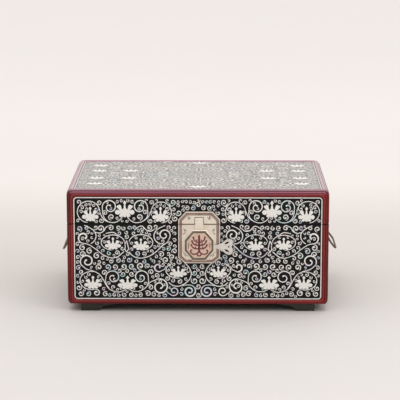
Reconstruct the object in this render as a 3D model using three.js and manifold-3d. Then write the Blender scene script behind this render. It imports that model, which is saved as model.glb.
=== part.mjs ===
// Lacquered jewellery box with inlaid panels, bead mouldings, a hinged lid, a front lock and side handles.
// Millimetres, +Z up, front towards -Y. The origin lies on the floor under the middle of the case.
import * as THREE from 'three';
import { mergeVertices } from 'three/addons/utils/BufferGeometryUtils.js';
import Module from 'manifold-3d';

const wasm = await Module();
wasm.setup();

// Driving sizes, in millimetres.
const box = {
  width: 290, // over the crests of the side beads
  depth: 193, // over the crests of the front and back beads
  height: 138.3, // from the floor to the crest of the top bead
};
const seam = {
  height: 99.5, // from the floor to the line where the lid parts from the case
  gap: 0.4, // between the lid's edge and the case's edge
};
const bead = {
  rise: 2, // crest above the core's surface
  width: 5.1,
  edgeGap: 0.3, // from the bead's foot to the core's edge
  outerRadius: 5,
  innerRadius: 4,
  root: 2.5, // how deep the bead is let into the core
  facets: 6,
  cornerSteps: 5,
};
const core = { edgeRadius: 1.2, edgeSteps: 2 };
const panel = {
  rise: 0.8, // face above the core's surface
  letIn: 2, // depth of the recess that holds it
  clearance: 0.25, // all round, to the bead
};
const wall = {
  side: 9, // from the core's surface to the inside
  top: 8,
  insideRadius: 2,
};
const board = {
  thickness: 5,
  ledge: 4.5, // how far the bottom board reaches under the walls
  clearance: 0.25,
};
const foot = {
  height: 8.3,
  sideInset: 14.8, // from the crest of the side bead
  frontInset: 4, // from the crest of the front bead
  toe: 20.5, // width on the floor
  reach: 42, // width under the case
  thickness: 8,
  knee: 5, // height where the bracket's curve turns
  kneeRun: 6.5, // run of the curve below the knee
};
const plate = {
  offset: 1.5, // the lock sits this far right of the middle
  width: 46.3,
  above: 14.1, // reach over the seam
  below: 44.3, // reach under the seam
  thickness: 1,
  topChamfer: [8.2, 9],
  bottomChamfer: [7.5, 6.2],
  edgeBevel: 0.4,
  bandStart: 1.1, // the sunk border band, measured in from the edge
  bandEnd: 3.3,
  bandDepth: 0.3,
};
const lock = {
  width: 33.6,
  height: 34.5,
  chamfer: [9.3, 11.2],
  drop: 5.9, // top of the lock case below the seam
  thickness: 4.2,
  edgeBevel: 0.7,
  bandStart: 1.7,
  bandEnd: 3.4,
  bandDepth: 0.5,
};
const tongue = {
  width: 9.2,
  thickness: 1.7,
  above: 7.2, // reach over the seam
  engaged: 3.8, // length inside the lock case
  roll: 1.2, // radius of the rolled top end
  rollOut: 0.7, // how far the roll stands out of the strip
  tipChamfer: 0.55,
  clearance: 0.35, // to the case's plate and the slot's sides
  swingRoom: 0.6, // in front of the tongue, for its arc
};
const key = {
  height: 74.6, // centre line above the floor
  thickness: 1.6,
  shank: 4, // width where it leaves the lock
  blade: 9, // length inside the lock
  bow: 18.2, // height of the fan-shaped head
  length: 20.3, // from the lock's side to the head's end
  clearance: 0.35,
  eyeRadius: 0.9,
  slit: [2.6, 1.1], // half length and half width
  slitTilt: 0.5, // radians
  notch: 1.1, // depth of the dip in the head's end
};
const handle = {
  height: 74, // pivot line above the floor
  spacing: 50, // between the posts
  drop: 18.6,
  flare: 7.7, // how far the grip stands out from the pivot line
  flarePower: 1.6, // how late along the drop the flare comes
  wire: 1.2, // radius
  legOffset: 5.4, // from a post to the leg beside it
  endInside: 2.6, // how far the bent end passes the post's middle
  bend: 2.4, // radius where an end turns into a leg
  corner: 8, // radius where a leg turns into the grip
  pivotOut: 3.5, // from the side panel's face to the pivot line
  clearance: 0.3, // round the wire in the post's hole
  swungLeft: 0, // degrees out from hanging
  swungRight: 9,
};
const post = {
  rosetteRadius: 6.5,
  rosetteThickness: 1.2,
  neckRadius: 1.9,
  headRadius: 2.6,
  facets: 16,
};
const hinge = {
  spacing: 160, // between the two hinges' middles
  width: 24,
  leaf: 15, // height of each leaf beyond the barrel
  thickness: 1.2,
  barrel: 2.4, // radius
  pin: 1.1, // radius
  axisOut: 2.9, // from the back panel's face to the pin
  clearance: 0.3,
  pinHead: 1.8, // radius
  pinHeadLength: 0.9,
  facets: 16,
};

// Places worked out from the sizes.
const half = {
  x: box.width / 2 - bead.rise,
  y: box.depth / 2 - bead.rise,
};
const coreTop = box.height - bead.rise;
const lidBottom = seam.height + seam.gap / 2;
const caseTop = seam.height - seam.gap / 2;
const caseFloor = foot.height + board.thickness;
const lidCeiling = coreTop - wall.top;
const far = 2 * (box.width + box.depth + box.height); // larger than anything here
const hingeAxis = half.y + panel.rise + hinge.axisOut;

const X = new THREE.Vector3(1, 0, 0);
const Y = new THREE.Vector3(0, 1, 0);
const Z = new THREE.Vector3(0, 0, 1);
const negative = (axis) => axis.clone().negate();

// Each moulded face: its own right-hand u and v, its outward direction and how far out its core lies.
const upright = { v: Z, vLow: foot.height, vHigh: coreTop };
const faces = {
  front: { u: X, out: negative(Y), distance: half.y, uHalf: half.x, ...upright },
  back: { u: negative(X), out: Y, distance: half.y, uHalf: half.x, ...upright },
  right: { u: Y, out: X, distance: half.x, uHalf: half.y, ...upright },
  left: { u: negative(Y), out: negative(X), distance: half.x, uHalf: half.y, ...upright },
  top: { u: X, v: Y, out: Z, distance: coreTop, uHalf: half.x, vLow: -half.y, vHigh: half.y },
};

// Turns a geometry drawn in a face's u, v and outward direction into the box's frame.
function onFace(geometry, face, out = 0) {
  const place = new THREE.Matrix4().makeBasis(face.u, face.v, face.out);
  place.setPosition(face.out.clone().multiplyScalar(face.distance + out));
  return geometry.applyMatrix4(place);
}

function bare(geometry) {
  geometry.deleteAttribute('normal');
  geometry.deleteAttribute('uv');
  return mergeVertices(geometry, 1e-4);
}

function toSolid(geometry) {
  const merged = bare(geometry);
  return new wasm.Manifold(new wasm.Mesh({
    numProp: 3,
    vertProperties: new Float32Array(merged.attributes.position.array),
    triVerts: new Uint32Array(merged.index.array),
  }));
}

function toGeometry(solid) {
  const mesh = solid.getMesh();
  const geometry = new THREE.BufferGeometry();
  geometry.setAttribute('position', new THREE.BufferAttribute(new Float32Array(mesh.vertProperties), 3));
  geometry.setIndex(new THREE.BufferAttribute(new Uint32Array(mesh.triVerts), 1));
  return geometry;
}

function block(xLow, xHigh, yLow, yHigh, zLow, zHigh) {
  const geometry = new THREE.BoxGeometry(xHigh - xLow, yHigh - yLow, zHigh - zLow);
  geometry.translate((xLow + xHigh) / 2, (yLow + yHigh) / 2, (zLow + zHigh) / 2);
  return toSolid(geometry);
}

function flipped(geometry) {
  const index = geometry.index.array;
  for (let i = 0; i < index.length; i += 3) {
    const second = index[i + 1];
    index[i + 1] = index[i + 2];
    index[i + 2] = second;
  }
  return geometry;
}

// The same shape on the other side of x = 0, of y = 0 or of both.
function mirrored(geometry, sideX, sideY) {
  const copy = bare(geometry.clone()).scale(sideX, sideY, 1);
  return sideX * sideY < 0 ? flipped(copy) : copy;
}

// Points of a rounded rectangle, counter-clockwise, with the same count for every size.
function roundedRectangle(uHalf, vLow, vHigh, radius, steps) {
  const centres = [
    [uHalf - radius, vLow + radius, -90],
    [uHalf - radius, vHigh - radius, 0],
    [-uHalf + radius, vHigh - radius, 90],
    [-uHalf + radius, vLow + radius, 180],
  ];
  const points = [];
  for (const [u, v, start] of centres) {
    for (let i = 0; i <= steps; i += 1) {
      const angle = THREE.MathUtils.degToRad(start + (90 * i) / steps);
      points.push(new THREE.Vector2(u + radius * Math.cos(angle), v + radius * Math.sin(angle)));
    }
  }
  return points;
}

function extruded(shape, depth, curveSegments = 6) {
  return new THREE.ExtrudeGeometry(shape, { depth, curveSegments, bevelEnabled: false });
}

function prism(points, depth) {
  return extruded(new THREE.Shape(points), depth);
}

// Joins closed loops of equal length into a skin; the first and last loops are joined or capped.
function skin(loops, capped) {
  const count = loops[0].length;
  const positions = [];
  for (const loop of loops) {
    for (const point of loop) positions.push(point.x, point.y, point.z);
  }
  const index = [];
  const rows = capped ? loops.length - 1 : loops.length;
  for (let row = 0; row < rows; row += 1) {
    const here = row * count;
    const next = ((row + 1) % loops.length) * count;
    for (let i = 0; i < count; i += 1) {
      const j = (i + 1) % count;
      index.push(here + i, here + j, next + j, here + i, next + j, next + i);
    }
  }
  if (capped) {
    const last = (loops.length - 1) * count;
    for (let i = 1; i < count - 1; i += 1) {
      index.push(0, i + 1, i);
      index.push(last, last + i, last + i + 1);
    }
  }
  const geometry = new THREE.BufferGeometry();
  geometry.setAttribute('position', new THREE.Float32BufferAttribute(positions, 3));
  geometry.setIndex(index);
  return geometry;
}

// A half-round bead that runs round one face, its corners rounded outside and inside.
function beadRing(face) {
  const edge = bead.edgeGap;
  const inner = edge + bead.width;
  const outside = roundedRectangle(
    face.uHalf - edge, face.vLow + edge, face.vHigh - edge, bead.outerRadius, bead.cornerSteps);
  const inside = roundedRectangle(
    face.uHalf - inner, face.vLow + inner, face.vHigh - inner, bead.innerRadius, bead.cornerSteps);
  const section = [[0, -bead.root]];
  for (let i = 0; i <= bead.facets; i += 1) {
    const turn = (Math.PI * i) / bead.facets;
    section.push([(1 - Math.cos(turn)) / 2, bead.rise * Math.sin(turn)]);
  }
  section.push([1, -bead.root]);
  const loops = section.map(([across, height]) => outside.map((point, i) => {
    const mixed = point.clone().lerp(inside[i], across);
    return new THREE.Vector3(mixed.x, mixed.y, height);
  }));
  return toSolid(onFace(skin(loops, false), face));
}

// The flat inside the bead: the recess cut for the panel, or the panel itself with its clearance.
function panelPrism(face, clearance, low, high) {
  const inset = bead.edgeGap + bead.width + clearance;
  const radius = bead.innerRadius - clearance;
  const outline = roundedRectangle(
    face.uHalf - inset, face.vLow + inset, face.vHigh - inset, radius, bead.cornerSteps);
  return toSolid(onFace(prism(outline, high - low), face, low));
}

// The block behind the beads: what three prisms, one along each axis, have in common.
function coreSolid() {
  const along = (face, length) => {
    const outline = roundedRectangle(face.uHalf, face.vLow, face.vHigh, core.edgeRadius, core.edgeSteps);
    return toSolid(onFace(prism(outline, length), face, -length));
  };
  return along(faces.front, 2 * half.y)
    .intersect(along(faces.right, 2 * half.x))
    .intersect(along(faces.top, coreTop - foot.height));
}

// Everything above the seam or below it.
const above = block(-far, far, -far, far, lidBottom, far);
const below = block(-far, far, -far, far, -far, caseTop);

function insidePrism(grow, low, high) {
  const outline = roundedRectangle(
    half.x - wall.side + grow, -half.y + wall.side - grow, half.y - wall.side + grow,
    wall.insideRadius, bead.cornerSteps);
  return toSolid(prism(outline, high - low).translate(0, 0, low));
}

const materials = {
  redLacquer: new THREE.MeshStandardMaterial({ color: 0x78282d, roughness: 0.25, metalness: 0 }),
  blackLacquer: new THREE.MeshStandardMaterial({ color: 0x17181a, roughness: 0.15, metalness: 0 }),
  bottomLacquer: new THREE.MeshStandardMaterial({ color: 0x241f1e, roughness: 0.5, metalness: 0 }),
  footLacquer: new THREE.MeshStandardMaterial({ color: 0x26241f, roughness: 0.45, metalness: 0 }),
  lockMetal: new THREE.MeshStandardMaterial({ color: 0xdfcbb2, roughness: 0.35, metalness: 0.9 }),
  keyMetal: new THREE.MeshStandardMaterial({ color: 0xe2ddd3, roughness: 0.3, metalness: 0.9 }),
  handleMetal: new THREE.MeshStandardMaterial({ color: 0x6b6252, roughness: 0.35, metalness: 0.9 }),
  hingeMetal: new THREE.MeshStandardMaterial({ color: 0xcdb994, roughness: 0.35, metalness: 0.9 }),
};

const caseGroup = new THREE.Group();
const lidGroup = new THREE.Group();

function add(group, name, geometry, material) {
  const piece = new THREE.Mesh(geometry, material.clone());
  piece.name = name;
  group.add(piece);
}

// Frames: the walls with their mouldings, hollowed and parted at the seam.
function addFrames() {
  let shell = coreSolid();
  for (const face of Object.values(faces)) shell = shell.add(beadRing(face));
  for (const face of Object.values(faces)) {
    shell = shell.subtract(panelPrism(face, 0, -panel.letIn, bead.rise + bead.root));
  }
  const lid = shell.intersect(above).subtract(insidePrism(0, foot.height, lidCeiling));
  const body = shell.intersect(below)
    .subtract(insidePrism(0, 0, seam.height))
    .subtract(insidePrism(board.ledge, 0, caseFloor));
  add(lidGroup, 'lid_frame', toGeometry(lid), materials.redLacquer);
  add(caseGroup, 'case_frame', toGeometry(body), materials.redLacquer);
}

function addPanels() {
  for (const [side, face] of Object.entries(faces)) {
    const sheet = panelPrism(face, panel.clearance, -panel.letIn, panel.rise);
    add(lidGroup, `lid_${side}_panel`, toGeometry(sheet.intersect(above)), materials.blackLacquer);
    if (side !== 'top') {
      add(caseGroup, `case_${side}_panel`, toGeometry(sheet.intersect(below)), materials.blackLacquer);
    }
  }
}

function addBottomBoard() {
  const sheet = insidePrism(board.ledge - board.clearance, foot.height, caseFloor);
  add(caseGroup, 'case_bottom_board', toGeometry(sheet), materials.bottomLacquer);
}

// Bracket feet: two wings at a corner, each with a curved inner edge.
function footWing() {
  const turn = foot.toe + foot.kneeRun;
  const shape = new THREE.Shape();
  shape.moveTo(0, 0);
  shape.lineTo(foot.toe, 0);
  shape.quadraticCurveTo(foot.toe + foot.kneeRun * 0.3, foot.knee * 0.85, turn, foot.knee);
  shape.quadraticCurveTo(turn + foot.kneeRun, foot.knee * 1.15, foot.reach, foot.height);
  shape.lineTo(0, foot.height);
  return extruded(shape, foot.thickness);
}

function addFeet() {
  const corner = {
    x: box.width / 2 - foot.sideInset,
    y: box.depth / 2 - foot.frontInset,
  };
  const frontWing = footWing().applyMatrix4(
    new THREE.Matrix4().makeBasis(X, Z, negative(Y)).setPosition(0, foot.thickness, 0));
  const sideWing = footWing().applyMatrix4(new THREE.Matrix4().makeBasis(Y, Z, X));
  const bracket = toGeometry(toSolid(frontWing).add(toSolid(sideWing)));
  bracket.translate(-corner.x, -corner.y, 0);
  for (const [end, sideY] of [['front', 1], ['back', -1]]) {
    for (const [side, sideX] of [['left', 1], ['right', -1]]) {
      add(caseGroup, `foot_${end}_${side}`, mirrored(bracket, sideX, sideY), materials.footLacquer);
    }
  }
}

// Convex outlines of the lock, moved in from every edge by the same distance.
function movedIn(points, distance) {
  return points.map((point, i) => {
    const before = points[(i + points.length - 1) % points.length];
    const after = points[(i + 1) % points.length];
    const first = point.clone().sub(before).normalize();
    const second = after.clone().sub(point).normalize();
    const firstIn = new THREE.Vector2(-first.y, first.x);
    const secondIn = new THREE.Vector2(-second.y, second.x);
    const share = distance / (1 + firstIn.dot(secondIn));
    return point.clone().addScaledVector(firstIn.add(secondIn), share);
  });
}

function chamferedOutline(width, low, high, lowChamfer, highChamfer) {
  const right = width / 2;
  const corners = [
    [right - lowChamfer[0], low],
    [right, low + lowChamfer[1]],
    [right, high - highChamfer[1]],
    [right - highChamfer[0], high],
  ];
  const points = corners.map(([u, v]) => new THREE.Vector2(u, v));
  for (const [u, v] of corners.toReversed()) points.push(new THREE.Vector2(-u, v));
  return points;
}

// A plate built up from its outline: a bevelled edge, and a band sunk a little below the face.
function bandedPlate(outline, form, thickness, base) {
  const sunk = thickness - form.bandDepth;
  const levels = [
    [0, base],
    [0, thickness - form.edgeBevel],
    [form.edgeBevel, thickness],
    [form.bandStart, thickness],
    [form.bandStart + form.bandDepth / 2, sunk],
    [form.bandEnd - form.bandDepth / 2, sunk],
    [form.bandEnd, thickness],
  ];
  const loops = levels.map(([inset, height]) => movedIn(outline, inset).map(
    (point) => new THREE.Vector3(point.x + plate.offset, point.y, height)));
  return skin(loops, true);
}

const plateFront = panel.rise + plate.thickness; // the plate's face, out from the core's surface

function addLockPlates() {
  const low = seam.height - plate.below;
  const high = seam.height + plate.above;
  const outline = chamferedOutline(plate.width, low, high, plate.bottomChamfer, plate.topChamfer);
  const whole = toSolid(onFace(bandedPlate(outline, plate, plate.thickness, 0), faces.front, panel.rise));
  add(lidGroup, 'lid_lock_plate', toGeometry(whole.intersect(above)), materials.lockMetal);
  add(caseGroup, 'case_lock_plate', toGeometry(whole.intersect(below)), materials.lockMetal);
}

const lockTop = seam.height - lock.drop;
const lockSide = plate.offset + lock.width / 2;
const keyMiddle = plateFront + key.clearance + key.thickness / 2 + (lock.thickness - key.thickness) / 4;

function addLockCase() {
  const outline = chamferedOutline(lock.width, lockTop - lock.height, lockTop, lock.chamfer, lock.chamfer);
  const body = toSolid(onFace(bandedPlate(outline, lock, lock.thickness, 0), faces.front, plateFront));
  const front = -half.y;
  const slot = block(
    plate.offset - tongue.width / 2 - tongue.clearance, plate.offset + tongue.width / 2 + tongue.clearance,
    front - plateFront - tongue.clearance - tongue.thickness - tongue.swingRoom, front - plateFront,
    lockTop - tongue.engaged - tongue.clearance, lockTop + 1);
  const keyRoom = key.thickness / 2 + key.clearance;
  const keyhole = block(
    lockSide - key.blade - key.clearance, lockSide + 1,
    front - keyMiddle - keyRoom, front - keyMiddle + keyRoom,
    key.height - key.shank / 2 - key.clearance, key.height + key.shank / 2 + key.clearance);
  add(caseGroup, 'lock_case', toGeometry(body.subtract(slot).subtract(keyhole)), materials.lockMetal);
}

// The tongue rests on the lid's plate and reaches down into the lock case, its top end rolled.
function addTongue() {
  const back = plateFront;
  const front = plateFront + tongue.clearance + tongue.thickness;
  const top = seam.height + tongue.above;
  const tip = lockTop - tongue.engaged;
  const chamfer = tongue.tipChamfer;
  const rollMiddle = front + tongue.rollOut - tongue.roll;
  const shape = new THREE.Shape();
  shape.moveTo(back + tongue.clearance, tip + chamfer);
  shape.lineTo(back + tongue.clearance + chamfer, tip);
  shape.lineTo(front - chamfer, tip);
  shape.lineTo(front, tip + chamfer);
  shape.lineTo(front, top - 2 * tongue.roll);
  shape.absarc(rollMiddle, top - tongue.roll, tongue.roll, -Math.PI / 3, Math.PI / 2, false);
  shape.lineTo(back, top);
  shape.lineTo(back, lidBottom);
  shape.lineTo(back + tongue.clearance, lidBottom);
  const strip = extruded(shape, tongue.width);
  const place = new THREE.Matrix4().makeBasis(negative(Y), Z, negative(X));
  place.setPosition(plate.offset + tongue.width / 2, -half.y, 0);
  add(lidGroup, 'lock_tongue', strip.applyMatrix4(place), materials.lockMetal);
}

// The key: a blade in the lock, a neck and a fan-shaped head with two slits and an eye.
function addKey() {
  const start = lockSide - key.blade;
  const end = lockSide + key.length;
  const bow = key.bow / 2;
  const at = (share, height) => new THREE.Vector2(lockSide + key.length * share, height);
  const upper = new THREE.SplineCurve([
    at(0.08, key.shank / 2),
    at(0.3, key.shank * 0.75),
    at(0.5, bow * 0.62),
    at(0.68, bow * 0.93),
    at(0.84, bow),
    at(0.98, bow * 0.8),
    at(1, bow * 0.45),
    new THREE.Vector2(end - key.notch, 0),
  ]).getPoints(14);
  const points = [new THREE.Vector2(start, key.shank / 2), ...upper];
  const lower = points.slice(0, -1).toReversed().map((point) => new THREE.Vector2(point.x, -point.y));
  const shape = new THREE.Shape([...points, ...lower].toReversed());
  for (const side of [1, -1]) {
    const slit = new THREE.Path();
    const middle = at(0.68, side * bow * 0.48);
    slit.absellipse(middle.x, middle.y, ...key.slit, 0, 2 * Math.PI, false, side * key.slitTilt);
    shape.holes.push(slit);
  }
  const eye = new THREE.Path();
  eye.absarc(lockSide + key.length * 0.78, 0, key.eyeRadius, 0, 2 * Math.PI, false);
  shape.holes.push(eye);
  const flat = extruded(shape, key.thickness);
  flat.translate(0, key.height, 0);
  onFace(flat, faces.front, keyMiddle - key.thickness / 2);
  add(caseGroup, 'key', flat, materials.keyMetal);
}

// Side handles: a bail of round wire hung from two turned posts.
class BailLine extends THREE.Curve {
  constructor() {
    super();
    const leg = handle.spacing / 2 + handle.legOffset;
    const inner = handle.spacing / 2 - handle.endInside;
    const flat = new THREE.CurvePath();
    const point = (y, z) => new THREE.Vector2(y, z);
    const corner = (from, at, to) => flat.add(new THREE.QuadraticBezierCurve(from, at, to));
    const line = (from, to) => flat.add(new THREE.LineCurve(from, to));
    const { bend, corner: round, drop } = handle;
    line(point(-inner, 0), point(-leg + bend, 0));
    corner(point(-leg + bend, 0), point(-leg, 0), point(-leg, -bend));
    line(point(-leg, -bend), point(-leg, -drop + round));
    corner(point(-leg, -drop + round), point(-leg, -drop), point(-leg + round, -drop));
    line(point(-leg + round, -drop), point(leg - round, -drop));
    corner(point(leg - round, -drop), point(leg, -drop), point(leg, -drop + round));
    line(point(leg, -drop + round), point(leg, -bend));
    corner(point(leg, -bend), point(leg, 0), point(leg - bend, 0));
    line(point(leg - bend, 0), point(inner, 0));
    this.flat = flat;
  }

  getPoint(t, target = new THREE.Vector3()) {
    const { x: y, y: z } = this.flat.getPoint(t);
    return target.set(handle.flare * (z / -handle.drop) ** handle.flarePower, y, z);
  }
}

function bailGeometry(swungOut) {
  const section = new THREE.Shape();
  section.absarc(0, 0, handle.wire, 0, 2 * Math.PI, false);
  const wire = new THREE.ExtrudeGeometry(section, {
    extrudePath: new BailLine(), steps: 44, bevelEnabled: false, curveSegments: 4,
  });
  wire.rotateY(-THREE.MathUtils.degToRad(swungOut));
  wire.translate(half.x + panel.rise + handle.pivotOut, 0, handle.height);
  return wire;
}

function postSolid() {
  const reach = handle.pivotOut;
  const profile = [
    [0, 0],
    [post.rosetteRadius, 0],
    [post.rosetteRadius, post.rosetteThickness * 0.5],
    [post.rosetteRadius * 0.7, post.rosetteThickness],
    [post.neckRadius, post.rosetteThickness * 1.1],
    [post.headRadius, reach - post.headRadius * 0.35],
    [post.headRadius, reach + post.headRadius * 0.35],
    [post.headRadius * 0.6, reach + post.headRadius * 0.85],
    [0, reach + post.headRadius],
  ].map(([radius, out]) => new THREE.Vector2(radius, out));
  const turned = new THREE.LatheGeometry(profile, post.facets);
  turned.applyMatrix4(new THREE.Matrix4().makeBasis(negative(Y), X, Z));
  const holeRadius = handle.wire + handle.clearance;
  const hole = new THREE.CylinderGeometry(holeRadius, holeRadius, 4 * post.headRadius, post.facets);
  hole.translate(reach, 0, 0);
  return toSolid(turned).subtract(toSolid(hole));
}

function addHandles() {
  const sides = [['left', -1, handle.swungLeft], ['right', 1, handle.swungRight]];
  for (const [side, sideX, swung] of sides) {
    const bail = mirrored(bailGeometry(swung), sideX, 1);
    add(caseGroup, `handle_bail_${side}`, bail, materials.handleMetal);
    for (const [end, sideY] of [['front', -1], ['back', 1]]) {
      const turned = toGeometry(postSolid());
      turned.translate(half.x + panel.rise, (sideY * handle.spacing) / 2, handle.height);
      add(caseGroup, `handle_post_${side}_${end}`, mirrored(turned, sideX, 1), materials.handleMetal);
    }
  }
}

// Hinges: leaves on the back panels, three knuckles and a headed pin.
const knuckle = hinge.width / 3;

function barrelPiece(radius, from, to) {
  const rod = new THREE.CylinderGeometry(radius, radius, to - from, hinge.facets);
  rod.applyMatrix4(new THREE.Matrix4().makeBasis(Y, X, negative(Z)));
  rod.translate((from + to) / 2, hingeAxis, seam.height);
  return toSolid(rod);
}

function leafSolid(up, knuckles) {
  const face = half.y + panel.rise;
  const outside = face + hinge.thickness;
  const near = hinge.barrel + hinge.clearance;
  const end = near + hinge.leaf;
  const span = (xLow, xHigh, from, to) => (up
    ? block(xLow, xHigh, face, outside, seam.height + from, seam.height + to)
    : block(xLow, xHigh, face, outside, seam.height - to, seam.height - from));
  let leaf = span(-hinge.width / 2, hinge.width / 2, near, end);
  for (const number of knuckles) {
    const low = -hinge.width / 2 + number * knuckle + (number > 0 ? hinge.clearance / 2 : 0);
    const high = -hinge.width / 2 + (number + 1) * knuckle - (number < 2 ? hinge.clearance / 2 : 0);
    leaf = leaf.add(span(low, high, seam.gap, near + 1)).add(barrelPiece(hinge.barrel, low, high));
  }
  return leaf.subtract(barrelPiece(hinge.pin + hinge.clearance, -hinge.width, hinge.width));
}

function pinSolid() {
  const end = hinge.width / 2 + hinge.clearance;
  const head = end + hinge.pinHeadLength;
  return barrelPiece(hinge.pin, -end, end)
    .add(barrelPiece(hinge.pinHead, end, head))
    .add(barrelPiece(hinge.pinHead, -head, -end));
}

function addHinges() {
  for (const [side, sideX] of [['left', -1], ['right', 1]]) {
    const x = (sideX * hinge.spacing) / 2;
    const place = (solid) => toGeometry(solid).translate(x, 0, 0);
    add(caseGroup, `hinge_${side}_case_leaf`, place(leafSolid(false, [0, 2])), materials.hingeMetal);
    add(caseGroup, `hinge_${side}_pin`, place(pinSolid()), materials.hingeMetal);
    add(lidGroup, `hinge_${side}_lid_leaf`, place(leafSolid(true, [1])), materials.hingeMetal);
  }
}

addFrames();
addPanels();
addBottomBoard();
addFeet();
addLockPlates();
addLockCase();
addTongue();
addKey();
addHandles();
addHinges();

const jewelleryBox = new THREE.Group();
jewelleryBox.add(caseGroup, lidGroup);

export default jewelleryBox;
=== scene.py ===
"""A lacquered jewellery box inlaid with mother-of-pearl: mouldings, inlay, lock, key, handles and hinges.

Lengths are in millimetres until a mesh is made, and in metres from there on. The front's scrollwork is
laid out in pixels of the photograph, its left half only, and mirrored. The other panels follow it.
"""

import math
import random

import bmesh
import bpy
import numpy as np
from mathutils import Matrix, Vector


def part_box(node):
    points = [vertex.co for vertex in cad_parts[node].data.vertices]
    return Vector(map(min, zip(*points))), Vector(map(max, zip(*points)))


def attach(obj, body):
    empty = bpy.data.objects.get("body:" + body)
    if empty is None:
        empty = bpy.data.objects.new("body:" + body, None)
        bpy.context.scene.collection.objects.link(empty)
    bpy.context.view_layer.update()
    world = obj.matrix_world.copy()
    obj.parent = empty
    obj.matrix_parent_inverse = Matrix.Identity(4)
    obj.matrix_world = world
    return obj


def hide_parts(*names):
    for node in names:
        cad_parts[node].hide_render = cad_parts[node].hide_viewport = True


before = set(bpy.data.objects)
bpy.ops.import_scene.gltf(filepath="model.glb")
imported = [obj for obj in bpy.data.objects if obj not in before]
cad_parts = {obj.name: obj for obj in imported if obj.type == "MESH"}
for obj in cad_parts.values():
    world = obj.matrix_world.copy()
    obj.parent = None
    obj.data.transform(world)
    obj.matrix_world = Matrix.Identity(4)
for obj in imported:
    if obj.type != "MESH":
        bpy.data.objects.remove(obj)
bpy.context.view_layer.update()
MM = 0.001
SIDES = ("front", "back", "left", "right")

# The photograph's camera, fitted to the box's corners.
FOCAL_PIXELS = 1737.8
FRAME_PIXELS = 400
PITCH = math.radians(11.3)
YAW = math.radians(0.49)
CAMERA_DISTANCE = 1912.6
CAMERA_TARGET = Vector((2.43, -96.5, 126.88))
SENSOR = 36.0

# Moulding, in millimetres, as the frames are made.
BEAD_WIDTH = 5.1
BEAD_TOP_EXTRA = 0.9  # the bead under the lid's top edge is broader by this
BEAD_RISE = 2.0
BEAD_GAP = 0.3
BEAD_ROOT = 2.5
SEAM_GROOVE = 0.45
REED_PARTING = 0.33
REED_PARTING_HALF = 0.09
REED_PARTING_DEPTH = 0.8
OUTER_RADIUS = 5.0
INNER_RADIUS = 4.0
CORE_RADIUS = 1.2
PANEL_CLEARANCE = 0.25
PANEL_RISE = 0.8
INSIDE_RADIUS = 2.0
BOARD_LEDGE = 4.5
CORNER_STEPS = 10
BEAD_STEPS = 20
EDGE_STEPS = 4
LID_THICKNESS = 8.0

# Inlay, in millimetres.
PEARL_LINE = 1.05
PEARL_LINE_INSET = 0.1
PEARL_ROOT = 0.12
PEARL_RISE = 0.05
PAST_SEAM = 20.0  # so far past the seam a line's ring closes before it is cut
FIELD_MARGIN = 1.9
SEAM_MARGIN = 0.3
CURL_GAP = 0.55
LAID_CURL_GAP = 0.1
FLOWER_ROOM = 6.0
GRID_STEP = 0.8  # the places tried for a curl's middle
GRID_JITTER = 0.35
DISCS_AT_ONCE = 200


def low_high(node):
    """A CAD node's corners in millimetres."""
    low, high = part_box(node)
    return low / MM, high / MM


CASE_LOW, CASE_HIGH = low_high("case_frame")
LID_LOW, LID_HIGH = low_high("lid_frame")
CORE_X = CASE_HIGH.x - BEAD_RISE
CORE_Y = CASE_HIGH.y - BEAD_RISE
CORE_TOP = LID_HIGH.z - BEAD_RISE
CORE_BOTTOM = CASE_LOW.z
CASE_TOP = CASE_HIGH.z
LID_BOTTOM = LID_LOW.z
SEAM_HEIGHT = (CASE_TOP + LID_BOTTOM) / 2
BOARD_HIGH = low_high("case_bottom_board")[1]
BOARD_CLEARANCE = 0.25
INSIDE_X = BOARD_HIGH.x - BOARD_LEDGE + BOARD_CLEARANCE
INSIDE_Y = BOARD_HIGH.y - BOARD_LEDGE + BOARD_CLEARANCE
LID_CEILING = CORE_TOP - LID_THICKNESS
POST_FRONT_LOW, POST_FRONT_HIGH = low_high("handle_post_right_front")
POST_SPACING = -(POST_FRONT_LOW.y + POST_FRONT_HIGH.y)
POST_HEIGHT = (POST_FRONT_LOW.z + POST_FRONT_HIGH.z) / 2
ROSETTE_RADIUS = (POST_FRONT_HIGH.z - POST_FRONT_LOW.z) / 2


# Node trees.
def fill_inputs(tree, added, inputs):
    """Gives a node's inputs their values or links."""
    for key, value in inputs.items():
        socket = added.inputs[key]
        if isinstance(value, bpy.types.NodeSocket):
            tree.links.new(value, socket)
        else:
            socket.default_value = value


def node(tree, kind, inputs=None, **settings):
    """Adds a node, sets its properties, and gives its inputs values or links."""
    added = tree.nodes.new(kind)
    for name, value in settings.items():
        setattr(added, name, value)
    fill_inputs(tree, added, inputs or {})
    return added


def math_node(tree, operation, first, second=0.0):
    return node(tree, "ShaderNodeMath", {0: first, 1: second}, operation=operation).outputs[0]


def map_range(tree, value, smooth=False, **ends):
    """The value spread between ends that are named as the node's own inputs, such as To_Max."""
    inputs = {"Value": value, **{label.replace("_", " "): end for label, end in ends.items()}}
    kind = "SMOOTHSTEP" if smooth else "LINEAR"
    return node(tree, "ShaderNodeMapRange", inputs, interpolation_type=kind).outputs["Result"]


def colour_ramp(tree, factor, stops, interpolation="LINEAR"):
    ramp = node(tree, "ShaderNodeValToRGB", {"Fac": factor})
    elements = ramp.color_ramp.elements
    ramp.color_ramp.interpolation = interpolation
    while len(elements) < len(stops):
        elements.new(0.5)
    for element, (place, colour) in zip(elements, stops):
        element.position = place
        element.color = (*colour, 1.0)
    return ramp.outputs["Color"]


def mix_colour(tree, factor, first, second):
    first, second = (value if isinstance(value, bpy.types.NodeSocket) else (*value, 1.0)
                     for value in (first, second))
    return node(tree, "ShaderNodeMix", {0: factor, 6: first, 7: second}, data_type="RGBA").outputs[2]


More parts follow.
